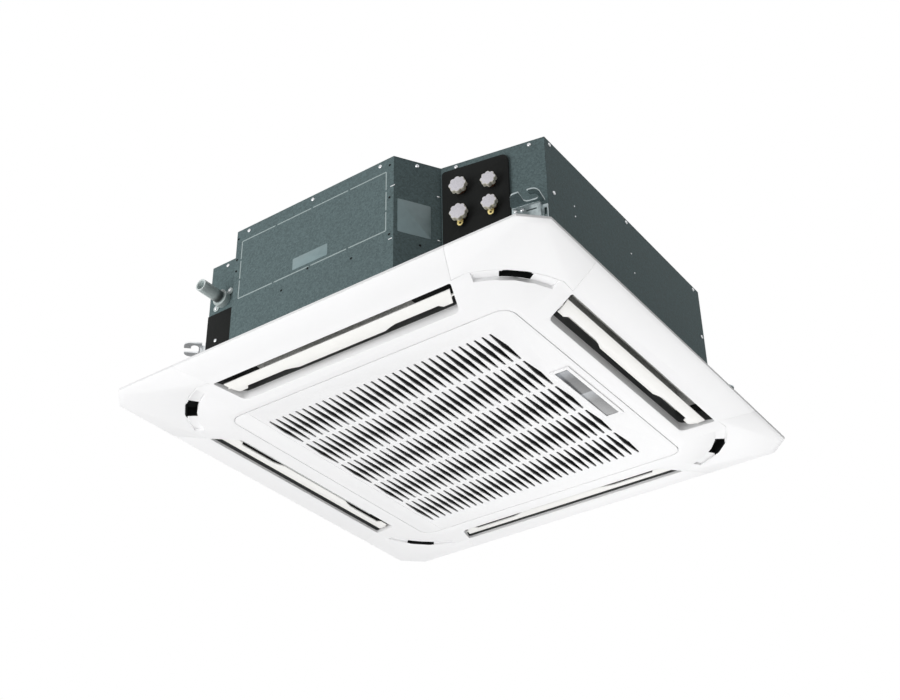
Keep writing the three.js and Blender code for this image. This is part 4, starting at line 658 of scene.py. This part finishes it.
def dressed(node, body, *finishes, edge=None, segments=3):
    """A merged copy of a frame node with rounded edges, which stands for it."""
    piece = merged(node)
    bpy.ops.mesh.dissolve_limited(angle_limit=FLAT)
    leave()
    piece.name = node + "_dressed"
    rounded(piece, sizes().edge if edge is None else edge, segments, 35)
    smooth(piece)
    coat(piece, *finishes)
    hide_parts(node)
    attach(piece, body)
    return piece


def recoat(node, *finishes):
    """Better materials for a frame node that stays."""
    coat(NODES[node], *finishes)


# The casing's outline, from the knock-out wall's left end, counter-clockwise.
OUTLINE = [
    (-218, -420), (155, -420), (202, -342), (398, -305.5), (398, 284), (262, 420),
    (-262, 420), (-398, 284), (-398, -300), (-337, -361), (-218, -361),
]
FRONT, NOTCH, PIPES, RIGHT, RIGHT_BACK, BACK, LEFT_BACK, LEFT, DRAIN_CORNER, DRAIN = range(10)
# The casing sheets in millimetres: bottom and top edge, thickness, and shortening at a mitre.
SHEET_FROM, SHEET_TO, SHEET_THICKNESS, SHEET_MITRE = 8, 294.6, 1, 0.5


def on_wall(wall, along, up, out=0.0):
    """A point in millimetres along a casing wall and up it, and the way out of the wall."""
    start = Vector((*OUTLINE[wall], 0))
    run = (Vector((*OUTLINE[(wall + 1) % len(OUTLINE)], 0)) - start).normalized()
    outwards = Vector((run.y, -run.x, 0))
    return (start + run * along + outwards * out + Vector((0, 0, up))) * MM, outwards


def facing(outwards):
    """Turns +Z to a wall's way out and +Y to the world's up."""
    side = Vector((0, 0, 1)).cross(outwards)
    return Matrix((side, Vector((0, 0, 1)), outwards)).transposed().to_euler()


def mounted(piece, wall, along, up, out=0.0, spin=0.0):
    """Lays a piece modelled at the origin on a casing wall, turned by spin about its axis."""
    piece.location, outwards = on_wall(wall, along, up, out)
    turn = facing(outwards)
    if spin:
        turn.rotate_axis("Z", spin)
    piece.rotation_euler = turn
    return settle(piece)


def copied(model, name):
    """A copy of a piece with its own mesh."""
    only(model)
    bpy.ops.object.duplicate()
    piece = bpy.context.object
    piece.name = name
    return piece


def joined(pieces, name):
    """Several pieces as one."""
    only(pieces[0])
    for piece in pieces[1:]:
        piece.select_set(True)
    bpy.ops.object.join()
    bpy.context.object.name = name
    return bpy.context.object


def remove(piece):
    """Deletes a model or a cutter that is no longer needed."""
    bpy.data.objects.remove(piece, do_unlink=True)


def fresh(name):
    """Names the primitive just added and settles it, ready for shaping."""
    piece = bpy.context.object
    piece.name = name
    return settle(piece)


def block(name, low, high):
    """A box between two corners in millimetres."""
    low, high = Vector(low) * MM, Vector(high) * MM
    bpy.ops.mesh.primitive_cube_add(size=1, location=(low + high) / 2)
    bpy.context.object.scale = high - low
    return fresh(name)


def rounded_block(name, low, high, radius, segments=8):
    """A box between two corners in millimetres, its upright edges rounded."""
    piece = block(name, low, high)
    pick(piece, lambda a, b: (a - b).xy.length < MM * MM, "EDGE")
    bpy.ops.mesh.bevel(offset=radius * MM, segments=segments)
    leave()
    return piece


def disc(name, radius, depth, sides=32):
    """A round bar along Z in millimetres, standing on the origin."""
    bpy.ops.mesh.primitive_cylinder_add(
        vertices=sides, radius=radius * MM, depth=depth * MM, location=(0, 0, depth / 2 * MM)
    )
    return fresh(name)


UPRIGHT = 0.9  # a face whose normal rises more than this looks up


def on_top(centre, normal):
    """Whether a face looks up."""
    return normal.z > UPRIGHT


def stepped(piece, *steps):
    """Raises a piece's top in steps: how high in millimetres, and how much narrower."""
    pick(piece, on_top)
    for rise, narrowing in steps:
        bpy.ops.mesh.extrude_region_move(TRANSFORM_OT_translate={"value": (0, 0, rise * MM)})
        bpy.ops.transform.resize(value=(narrowing, narrowing, 1))
    leave()


def carved(piece, cutters):
    """Cuts the cutters out of a piece and deletes them."""
    for cutter in cutters:
        applied(piece, "BOOLEAN", object=cutter, operation="DIFFERENCE", solver="EXACT")
        remove(cutter)
    return piece


# The outlets in plan: inner and outer edge from the centre, and the half lengths of both.
OUTLET_INNER, OUTLET_OUTER = 0.345, 0.407
OUTLET_INNER_HALF, OUTLET_OUTER_HALF = 0.238, 0.263
DUCT_SHADE_FROM = -0.015  # the ducts' painted shade starts at this height
# The corner outlets: arcs about the corner points, open over their middle.
ARC_CENTRE, ARC_INNER, ARC_OUTER = 0.247, 0.150, 0.171
ARC_OPEN = radians(10)
ARC_PLAY, TURN_PLAY = 0.7 * MM, 0.005  # play about them, in metres and radians


def in_outlet(place):
    """Whether a point lies over one of the four outlets."""
    out = max(abs(place.x), abs(place.y))
    along = min(abs(place.x), abs(place.y))
    widening = (OUTLET_OUTER_HALF - OUTLET_INNER_HALF) / (OUTLET_OUTER - OUTLET_INNER)
    half = OUTLET_INNER_HALF + (out - OUTLET_INNER) * widening
    return OUTLET_INNER - MM < out < OUTLET_OUTER + MM and along < half + MM


def in_corner_duct(place):
    """Whether a point lies over the open middle of a corner outlet."""
    across, up = abs(place.x) - ARC_CENTRE, abs(place.y) - ARC_CENTRE
    reach = hypot(across, up)
    turned = abs(atan2(up, across) - pi / 4)
    between = ARC_INNER - ARC_PLAY < reach < ARC_OUTER + ARC_PLAY
    return between and turned < ARC_OPEN + TURN_PLAY


def on_faces(piece, finish, wanted):
    """Adds a finish to a piece on the faces that wanted() accepts."""
    piece.data.materials.append(finish_of(finish))
    slot = len(piece.data.materials) - 1
    for face in piece.data.polygons:
        if wanted(face.center, face.normal):
            face.material_index = slot


def with_duct_shade(piece):
    """Puts painted shade on a panel piece's faces deep inside the ducts and in the corner outlets'
    open middles.
    """
    on_faces(piece, "duct", lambda centre, normal: centre.z > DUCT_SHADE_FROM and in_outlet(centre))
    on_faces(piece, "hole", lambda centre, normal: in_corner_duct(centre))


def flattened(sheet):
    """Evens a sheet's shading, so that its flat faces stay flat up to their rounded edges."""
    return applied(sheet, "WEIGHTED_NORMAL", keep_sharp=True, weight=100)


def facing_in(centre, normal):
    """Whether a casing sheet's face looks into the unit."""
    return centre.xy.dot(normal.xy) < -0.1


def corner_sheet():
    """The bevelled corner of the casing between the back and the left wall."""
    ends = [Vector(OUTLINE[corner]) for corner in (LEFT_BACK, LEFT)]
    middle = (ends[1] - ends[0]).length / 2
    half = Vector((middle - SHEET_MITRE, (SHEET_TO - SHEET_FROM) / 2, 0))
    sheet = block("casing_corner", -half - Vector((0, 0, SHEET_THICKNESS)), half)
    rounded(sheet, sizes().sheet_edge)
    mounted(sheet, LEFT_BACK, middle, (SHEET_FROM + SHEET_TO) / 2)
    smooth(sheet, 40)
    coat(sheet, "sheet")
    # Its inner faces take the duct colour, painted shade.
    on_faces(sheet, "duct", facing_in)
    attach(sheet, "unit")


# Foam seals close the ends of the outlet ducts; where they start along each side, in mm.
SEALS = (-190, 160), (-225, 225), (-225, 225), (-225, 225)
# Their inner and outer edge from the centre, where the inner edge ends along the side, and how
# much further the outer edge does.
SEAL_INNER, SEAL_OUTER, SEAL_END, SEAL_FLARE = 346, 406, 237.4, 24.2
SEAL_LOW, SEAL_HIGH = 6.1, 7.4
# The strip that closes a side duct's top outside the casing.
SIDE_SEAL = (398.3, -224.8, SEAL_LOW), (SEAL_OUTER, 224.8, SEAL_HIGH)


def duct_seal(quarter, start):
    """One seal over the end of a side's duct, from start to the duct's sloping end wall."""
    end = SEAL_END if start > 0 else -SEAL_END
    turn = Matrix.Rotation(quarter * pi / 2, 3, "Z")
    corners = [
        turn @ Vector(corner)
        for corner in ((start, -SEAL_OUTER, SEAL_LOW), (end, -SEAL_INNER, SEAL_HIGH))
    ]
    low = Vector([min(pair) for pair in zip(*corners)])
    high = Vector([max(pair) for pair in zip(*corners)])
    seal = block("duct_seal", low, high)
    outwards, onwards = turn @ Vector((0, -1, 0)), turn @ Vector((end, 0, 0)).normalized()
    out, on = (SEAL_OUTER - 1) * MM, (SEAL_END - 1) * MM
    pick(seal, lambda place: place.dot(outwards) > out and place.dot(onwards) > on, "VERT")
    bpy.ops.transform.translate(value=onwards * SEAL_FLARE * MM)
    leave()
    return seal


# ---- operators


class PieceOperator:
    """Shared settings of the operators below."""

    bl_options = {"REGISTER", "UNDO"}


QUARTER_GAP = 0.3 * MM  # between the quarters of the panel's frame
CUT_PLAY = 0.01  # how far a cut face's normal may lie off the diagonal


class CASSETTE_OT_panel(PieceOperator, bpy.types.Operator):
    """The air panel's moulding, in one piece from its four quarters"""

    bl_idname = "cassette.panel"
    bl_label = "Air panel"

    def execute(self, context):
        quarters = []
        for side in SIDES:
            quarters.append(merged("panel_frame_" + side))
            leave()
        panel = joined(quarters, "panel_moulding")

        def on_cut(centre, normal):
            between = abs(abs(centre.x) - abs(centre.y)) < QUARTER_GAP
            slant = abs(abs(normal.x) - abs(normal.y)) < CUT_PLAY
            return between and slant and abs(normal.z) < CUT_PLAY

        pick(panel, on_cut)
        bpy.ops.mesh.delete(type="FACE")
        bpy.ops.mesh.select_mode(type="VERT")
        bpy.ops.mesh.select_non_manifold()
        bpy.ops.mesh.remove_doubles(threshold=QUARTER_GAP + 0.04 * MM)
        bpy.ops.mesh.select_all(action="SELECT")
        bpy.ops.mesh.dissolve_limited(angle_limit=FLAT)
        bpy.ops.mesh.select_all(action="SELECT")
        bpy.ops.mesh.bisect(plane_co=(0, 0, DUCT_SHADE_FROM), plane_no=(0, 0, 1))
        leave()
        rounded(panel, sizes().edge, 3, 35)
        smooth(panel)
        coat(panel, "panel")
        with_duct_shade(panel)
        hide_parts(*["panel_frame_" + side for side in ("front", "right", "back", "left")])
        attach(panel, "unit")
        return {"FINISHED"}


class CASSETTE_OT_corner_covers(PieceOperator, bpy.types.Operator):
    """The four corner covers that lift off to reach the hangers"""

    bl_idname = "cassette.corner_covers"
    bl_label = "Corner covers"

    def execute(self, context):
        for number in range(1, 5):
            with_duct_shade(dressed(f"corner_cover_{number}", "unit", "panel"))
        return {"FINISHED"}


# The strip round the return opening: half sizes and heights of its outside and its core, and
# the half size at which its corners would be square.
SEAM_STRIP = (311.8, -32.8, -30), (311.0, -34, -29)
SEAM_SQUARE = 286


class CASSETTE_OT_grille(PieceOperator, bpy.types.Operator):
    """The slotted return grille with its filter and latches"""

    bl_idname = "cassette.grille"
    bl_label = "Return grille"

    def execute(self, context):
        dressed("return_grille", "grille", "panel", edge=0.0004)
        strip, core = [
            rounded_block("seam_strip", (-half, -half, low), (half, half, high), half - SEAM_SQUARE)
            for half, low, high in SEAM_STRIP
        ]
        carved(strip, [core])
        rounded(strip, 0.0002, angle=60)
        smooth(strip, 40)
        coat(strip, "panel")
        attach(strip, "unit")
        dressed("air_filter", "grille", "filter", edge=0.0003)
        for number in (1, 2):
            dressed(f"grille_latch_{number}", f"latch_{number}", "inner")
        return {"FINISHED"}


class CASSETTE_OT_display(PieceOperator, bpy.types.Operator):
    """The display's housing and smoked window"""

    bl_idname = "cassette.display"
    bl_label = "Display"

    def execute(self, context):
        dressed("display_housing", "grille", "panel")
        dressed("display_lens", "grille", "window")
        return {"FINISHED"}


class CASSETTE_OT_louvres(PieceOperator, bpy.types.Operator):
    """The four louvres, their motors and the seals of their ducts"""

    bl_idname = "cassette.louvres"
    bl_label = "Louvres"

    def execute(self, context):
        for side in SIDES:
            dressed("louvre_" + side, "louvre_" + side, "louvre", edge=0.0003)
            recoat("louvre_motor_" + side, "black")
        seals = [duct_seal(k, start) for k, starts in enumerate(SEALS) for start in starts]
        seals.append(block("side_seal", *SIDE_SEAL))
        low, high = SIDE_SEAL
        seals.append(block("side_seal", (-high[0], *low[1:]), (-low[0], *high[1:])))
        seal = joined(seals, "duct_seals")
        coat(seal, "foam")
        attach(seal, "unit")
        return {"FINISHED"}


KNOCKOUT = (-204, 138), (136, 267)  # the knock-out plate's sides, and its bottom and top
TAPE_HALF, TAPE_DEPTH = 5, (-419.5, -419.1)  # the tape on its slits: half width, and where
# The square grooves in the top plate: their half sizes, width and floor.
BEADS, BEAD_WIDTH, BEAD_FLOOR = (110, 190, 270), 8, 295.5


class CASSETTE_OT_casing(PieceOperator, bpy.types.Operator):
    """The casing's coated sheets, its lining and the pale tape on the knock-out's slits"""

    bl_idname = "cassette.casing"
    bl_label = "Casing"

    def execute(self, context):
        for node in ("front_wall", "pipe_plate", "right_back_wall", "left_wall"):
            wall = dressed(node, "unit", "sheet", edge=sizes().sheet_edge, segments=2)
            flattened(wall)
            # The walls' inner faces take the duct colour, painted shade.
            on_faces(wall, "duct", facing_in)
        corner_sheet()
        top = dressed("top_plate", "unit", "sheet", edge=sizes().sheet_edge, segments=2)
        beads = []
        for half in BEADS:
            core = half - BEAD_WIDTH
            bead = block("bead", (-half, -half, BEAD_FLOOR), (half, half, BEAD_FLOOR + 1.5))
            cutter = block("core", (-core, -core, BEAD_FLOOR - 0.5), (core, core, BEAD_FLOOR + 2.5))
            beads.append(rounded(carved(bead, [cutter]), 0.003, angle=60))
        carved(top, beads)
        smooth(top, 30)
        flattened(top)
        coat(top, "sheet")
        (left, right), (low, high), by = *KNOCKOUT, TAPE_HALF
        front, back = TAPE_DEPTH
        tape = block("slit_tape", (left - by, front, low - by), (right + by, back, high + by))
        inside = (left + by, front - 1.5, low + by), (right - by, back + 1.1, high - by)
        carved(tape, [block("hole", *inside)])
        rounded(tape, 0.0001, 1)
        coat(tape, "tape")
        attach(tape, "unit")
        recoat("cable_grommet", "black")
        recoat("insulation_liner", "white_foam")
        return {"FINISHED"}


# Places on the casing: for each wall, the millimetres along it and up it.
SCREWS = {
    FRONT: [(30, 285.5), (186.5, 285.5), (343, 285.5)],
    NOTCH: [(44.6, 286)],
    PIPES: [(30, 288), (170.7, 287)],
    RIGHT: [(15.5, 287), (20.5, 182), (289.5, 287), (564.5, 288), (577.5, 180)],
    RIGHT_BACK: [(90, 287)],
    BACK: [(30, 287), (190, 287), (350, 287), (510, 287), (270, 130)],
    LEFT_BACK: [(90, 287)],
    LEFT: [(24, 287), (200, 287), (380, 287), (560, 287)],
    DRAIN_CORNER: [(43, 287)],
    DRAIN: [(40.5, 286)],
}
# Screws that stand off a wall by the third number: on the drain stub's ears, on its pad and on
# the lug by the pipes.
RAISED_SCREWS = {
    DRAIN: [(20.1, 190.9, 2.8), (53.9, 219.1, 2.8), (29.1, 112, 5.3)],
    PIPES: [(146.2, 134, 18.3), (158.2, 133, 18.3)],
}
RIVETS = {
    RIGHT: [(90.5, 198), (91.5, 176), (298.5, 219), (304.5, 178)],
    LEFT: [(120, 178), (500, 178)],
    DRAIN: [(104, 262)],
}
# Folded tabs that show as bright dashes; the third number is their length.
TABS = {
    FRONT: [(371, 228.6, 10), (366.5, 114, 8)],
    NOTCH: [(86.5, 228.5, 8), (86.5, 131.5, 8)],
}
HOLES = {
    FRONT: [
        (281, 110), (181, 132), (121, 109), (4, 277), (4, 228), (4, 202), (364, 279),
        (364, 206), (364, 125),
    ],
    NOTCH: [(50, 111)],
    BACK: [(120, 200), (420, 200)],
    DRAIN_CORNER: [(30, 262)],
    RIGHT_BACK: [(40, 262)],
}
# The small parts' shapes, in millimetres or as shares of a radius.
RESTING = 0.02  # they stand off their wall by this
SCREW_RIM, SCREW_STEPS = 0.7, ((0.9, 0.86), (0.5, 0.7))
SLOT, SLOT_FLOOR, SLOT_SHARE = 0.45, 1.1, 0.62  # a screw's cross: half width, floor and reach
SLOT_TURN = 0.7  # radians from one screw's cross to the next one's
RIVET_RIM, RIVET_STEPS, RIVET_SHARE = 0.3, ((0.5, 0.6),), 0.42
TAB_HALF, TAB_RISE = 0.9, 0.6
HOLE_RIM, HOLE_SHARE, HOLE_DEPTH = 0.35, 0.35, 0.28  # the raised rim, its width and the sink


def listed(table):
    """The places of a table, each with its wall."""
    return [(wall, *place) for wall, places in table.items() for place in places]


class CASSETTE_OT_screws(PieceOperator, bpy.types.Operator):
    """Cross-headed screws, rivets, tabs and small holes on the casing's walls, each hole a dimple
    with painted shade in its middle
    """

    bl_idname = "cassette.screws"
    bl_label = "Screws and holes"

    def execute(self, context):
        radius = sizes().screw / MM
        model = disc("screw_model", radius, SCREW_RIM)
        stepped(model, *SCREW_STEPS)
        arm = radius * SLOT_SHARE
        cross = [
            block("cutter", (-x, -y, SLOT_FLOOR), (x, y, 3)) for x, y in ((arm, SLOT), (SLOT, arm))
        ]
        rounded(carved(model, cross), 0.0002, angle=30)
        coat(model, "screw")
        made = []
        places = [(*place, 0) for place in listed(SCREWS)] + listed(RAISED_SCREWS)
        for number, (*place, out) in enumerate(places):
            screw = copied(model, "screw")
            made.append(mounted(screw, *place, out + RESTING, number * SLOT_TURN))
        rivet = disc("rivet_model", radius * RIVET_SHARE, RIVET_RIM, 16)
        stepped(rivet, *RIVET_STEPS)
        coat(rivet, "screw")
        for place in listed(RIVETS):
            made.append(mounted(copied(rivet, "rivet"), *place, RESTING))
        for *place, run in listed(TABS):
            tab = block("tab", (-run / 2, -TAB_HALF, 0), (run / 2, TAB_HALF, TAB_RISE))
            made.append(mounted(rounded(tab, 0.0003), *place, RESTING))
            coat(tab, "screw")
        remove(model)
        remove(rivet)
        screws = joined(made, "casing_screws")
        smooth(screws, 40)
        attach(screws, "unit")

        hole = sizes().hole / MM
        model = disc("hole_model", hole * (1 + HOLE_SHARE), HOLE_RIM)
        pick(model, on_top)
        bpy.ops.mesh.inset(thickness=hole * HOLE_SHARE * MM)
        bpy.ops.transform.translate(value=(0, 0, -HOLE_DEPTH * MM))
        leave()
        # The sunk middle of each hole is painted shade for its dark inside.
        coat(model, "sheet", "hole")
        for face in model.data.polygons:
            middle = face.center.xy.length < 0.2 * MM
            face.material_index = int(middle and on_top(face.center, face.normal))
        made = [mounted(copied(model, "hole"), *place, RESTING) for place in listed(HOLES)]
        remove(model)
        holes = joined(made, "casing_holes")
        smooth(holes, 40)
        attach(holes, "unit")
        return {"FINISHED"}


# The labels: name, wall, place along and up, width and height.
LABELS = [("label_front", FRONT, 185.5, 155.5, 81, 25), ("label_notch", NOTCH, 39, 166, 63, 72)]
LABEL_FILM, LABEL_CORNER = 0.25, 2  # thickness, and radius of the corners


class CASSETTE_OT_labels(PieceOperator, bpy.types.Operator):
    """The two bare film labels on the casing"""

    bl_idname = "cassette.labels"
    bl_label = "Labels"

    def execute(self, context):
        for name, wall, along, up, width, height in LABELS:
            half = Vector((width / 2, height / 2, 0))
            top = half + Vector((0, 0, LABEL_FILM))
            label = rounded_block(name, -half, top, LABEL_CORNER, 4)
            mounted(rounded(label, 0.00008), wall, along, up, RESTING)
            smooth(label, 40)
            coat(label, "label")
            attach(label, "unit")
        return {"FINISHED"}


CAP_END = 0.97  # a cap's face this far turned out of the wall is its end


class CASSETTE_OT_pipes(PieceOperator, bpy.types.Operator):
    """Water pipes with their caps and vents, and the pad behind them"""

    bl_idname = "cassette.pipes"
    bl_label = "Pipes"

    def execute(self, context):
        wall, outwards = on_wall(PIPES, 0, 0)
        for water in ("cooling", "heating"):
            for way in ("supply", "return"):
                pipe = dressed(f"{water}_{way}_pipe", "unit", "copper", edge=0.0003)
                # Outside the wall the pipes are black: painted shadow under the caps.
                on_faces(pipe, "black", lambda centre, normal: (centre - wall).dot(outwards) > 0)
                cap = dressed(f"{water}_{way}_cap", "unit", "cap", edge=0.0006)
                on_faces(cap, "cap_face", lambda centre, normal: normal.dot(outwards) > CAP_END)
            dressed(f"{water}_supply_vent", "unit", "brass", edge=0.0004)
        dressed("pipe_foam", "unit", "foam", edge=0.0008)
        return {"FINISHED"}


class CASSETTE_OT_drain(PieceOperator, bpy.types.Operator):
    """The drain stub, its pad, the pump, the float and the hose between them"""

    bl_idname = "cassette.drain"
    bl_label = "Drain"

    def execute(self, context):
        dressed("drain_stub", "unit", "drain", edge=0.0008)
        dressed("drain_foam", "unit", "foam", edge=0.0008)
        recoat("drain_pump", "inner")
        recoat("float_switch", "inner")
        recoat("pump_float", "cap")
        recoat("drain_hose", "hose")
        return {"FINISHED"}


class CASSETTE_OT_hangers(PieceOperator, bpy.types.Operator):
    """The four slotted lugs that hang the unit"""

    bl_idname = "cassette.hangers"
    bl_label = "Hanger lugs"

    def execute(self, context):
        for place in ("pipe_side", "right_back", "left_back", "drain_side"):
            # All four lugs are zinc plate; the drain lug's brighter steel is a painted reflection
            # of the floor, and the other lugs' flat faces in coated sheet are painted shade.
            finish = "screw" if place == "drain_side" else "zinc"
            lug = dressed("hanger_lug_" + place, "unit", finish, edge=0.0004)
            if place != "drain_side":
                on_faces(lug, "sheet", lambda centre, normal: abs(normal.z) > UPRIGHT)
        return {"FINISHED"}


class CASSETTE_OT_fan(PieceOperator, bpy.types.Operator):
    """The bell mouth, the impeller on its shaft and the motor"""

    bl_idname = "cassette.fan"
    bl_label = "Fan"

    def execute(self, context):
        dressed("bell_mouth", "unit", "black")
        dressed("impeller", "fan_wheel", "inner", edge=0.0004)
        dressed("motor_shaft", "fan_wheel", "zinc", edge=0.0003)
        dressed("fan_motor", "unit", "motor", edge=0.0004)
        return {"FINISHED"}


class CASSETTE_OT_coil(PieceOperator, bpy.types.Operator):
    """The finned coil and the drain pan under it"""

    bl_idname = "cassette.coil"
    bl_label = "Coil and pan"

    def execute(self, context):
        recoat("coil", "fins")
        dressed("drain_pan", "unit", "white_foam", edge=0.001)
        return {"FINISHED"}


class CASSETTE_OT_controls(PieceOperator, bpy.types.Operator):
    """The control box, its lid and its board"""

    bl_idname = "cassette.controls"
    bl_label = "Control box"

    def execute(self, context):
        dressed("control_box", "unit", "zinc", edge=0.0003)
        dressed("control_box_cover", "unit", "zinc", edge=0.0003)
        recoat("control_board", "board")
        return {"FINISHED"}


# The lamps: name, place, the shade each gives white at the unit, and size.
LAMPS = [
    ("key", (-1.2, -3.0, -0.8), 0.60, 2.2), ("under", (0.2, -0.2, -3.0), 0.54, 3.0),
    ("fill", (-0.2, 2.6, -1.8), 0.36, 2.6),
]
LAMP_TARGET = (0, 0, 0.1)
AMBIENT = 0.26  # the world's light on the unit, where white is 1
FLOOR_GLOW = 0.6  # how far the floor fades to white for the camera
FLOOR_SIZE = 60
# The photograph's camera: its place, its aim in radians, and the picture's numbers in pixels.
CAMERA_PLACE = (1.32809, -1.94320, -1.35421)
CAMERA_TURN, CAMERA_RISE, CAMERA_ROLL = 2.1768868, 0.5723899, -0.0185538
PICTURE_WIDTH, PICTURE_MIDDLE, FOCAL_LENGTH = 900, 451.74, 1410.73
SENSOR = 36  # millimetres


def lamp(name, place, strength, size):
    """A soft square lamp aimed at the unit."""
    data = bpy.data.lights.new(name, "AREA")
    away = Vector(place) - Vector(LAMP_TARGET)
    data.size = size
    data.energy = strength * pi * pi * away.length_squared
    made = bpy.data.objects.new(name, data)
    made.location = place
    made.rotation_euler = away.to_track_quat("Z", "Y").to_euler()
    made.visible_camera = False
    bpy.context.scene.collection.objects.link(made)


class CASSETTE_OT_stage(PieceOperator, bpy.types.Operator):
    """The floor, the soft lamps, the white surroundings and the camera"""

    bl_idname = "cassette.stage"
    bl_label = "Stage"

    def execute(self, context):
        scene = context.scene
        drop = sizes().floor_drop
        bpy.ops.mesh.primitive_plane_add(size=FLOOR_SIZE, location=(0, 0, -drop))
        floor = context.object
        floor.name = "floor"
        f = Finish("pale_floor", Base_Color=(0.86, 0.86, 0.86, 1), Roughness=0.9)
        camera_ray = f.node("ShaderNodeLightPath", {}, {}, "Is Camera Ray")
        glow = f.node("ShaderNodeEmission", {}, {})
        layers = {0: camera_ray * FLOOR_GLOW, 1: Signal(f, f.shader.outputs[0]), 2: glow}
        mixed = f.node("ShaderNodeMixShader", {}, layers)
        f.give(f.nodes["Material Output"].inputs["Surface"], mixed)
        floor.data.materials.append(f.material)

        world = scene.world or bpy.data.worlds.new("surroundings")
        scene.world = world
        world.use_nodes = True
        sky = Tree(world.node_tree)
        rays = [
            sky.node("ShaderNodeLightPath", {}, {}, f"Is {ray} Ray")
            for ray in ("Camera", "Glossy", "Transmission")
        ]
        seen = sky.maths("MAXIMUM", sky.maths("MAXIMUM", rays[0], rays[1]), rays[2])
        levels = {"Value": seen, "To Min": AMBIENT, "To Max": 1.0}
        back = sky.nodes["Background"].inputs
        sky.give(back["Color"], (1, 1, 1, 1))
        sky.give(back["Strength"], sky.node("ShaderNodeMapRange", {}, levels))

        for settings in LAMPS:
            lamp(*settings)

        data = bpy.data.cameras.new("camera")
        camera = bpy.data.objects.new("camera", data)
        scene.collection.objects.link(camera)
        turn, rise, roll = CAMERA_TURN, CAMERA_RISE, CAMERA_ROLL
        ahead = Vector((cos(rise) * cos(turn), cos(rise) * sin(turn), sin(rise)))
        right = ahead.cross(Vector((0, 0, 1))).normalized()
        up = right.cross(ahead)
        across = right * cos(roll) + up * sin(roll)
        upwards = up * cos(roll) - right * sin(roll)
        axes = Matrix((across, upwards, -ahead)).transposed()
        camera.matrix_world = Matrix.Translation(CAMERA_PLACE) @ axes.to_4x4()
        data.sensor_width = SENSOR
        data.lens = FOCAL_LENGTH / PICTURE_WIDTH * SENSOR
        data.shift_x = (PICTURE_WIDTH / 2 - PICTURE_MIDDLE) / PICTURE_WIDTH
        data.clip_end = FLOOR_SIZE
        scene.camera = camera
        scene.view_settings.view_transform = "Standard"
        return {"FINISHED"}


class CASSETTE_PT_panel(bpy.types.Panel):
    """Lists the unit's settings and its pieces"""

    bl_label = "Ceiling cassette"
    bl_idname = "CASSETTE_PT_panel"
    bl_space_type = "VIEW_3D"
    bl_region_type = "UI"
    bl_category = "Cassette"

    def draw(self, context):
        for group in (context.scene.cassette_sizes, context.scene.cassette_colours):
            box = self.layout.box()
            for name in group.__annotations__:
                box.prop(group, name)
        for operator in OPERATORS:
            self.layout.operator(operator.bl_idname)


OPERATORS = [
    CASSETTE_OT_panel, CASSETTE_OT_corner_covers, CASSETTE_OT_grille, CASSETTE_OT_display,
    CASSETTE_OT_louvres, CASSETTE_OT_casing, CASSETTE_OT_screws, CASSETTE_OT_labels,
    CASSETTE_OT_pipes, CASSETTE_OT_drain, CASSETTE_OT_hangers, CASSETTE_OT_fan,
    CASSETTE_OT_coil, CASSETTE_OT_controls, CASSETTE_OT_stage,
]
CLASSES = [CassetteColours, CassetteSizes, *OPERATORS, CASSETTE_PT_panel]


def register():
    """Adds the settings, the operators and the panel."""
    for one in CLASSES:
        bpy.utils.register_class(one)
    bpy.types.Scene.cassette_colours = bpy.props.PointerProperty(type=CassetteColours)
    bpy.types.Scene.cassette_sizes = bpy.props.PointerProperty(type=CassetteSizes)


def unregister():
    """Takes them away again."""
    del bpy.types.Scene.cassette_sizes
    del bpy.types.Scene.cassette_colours
    for one in reversed(CLASSES):
        bpy.utils.unregister_class(one)


def main():
    """Makes every piece."""
    register()
    for operator in OPERATORS:
        group, name = operator.bl_idname.split(".")
        getattr(getattr(bpy.ops, group), name)()


if __name__ == "__main__":
    main()
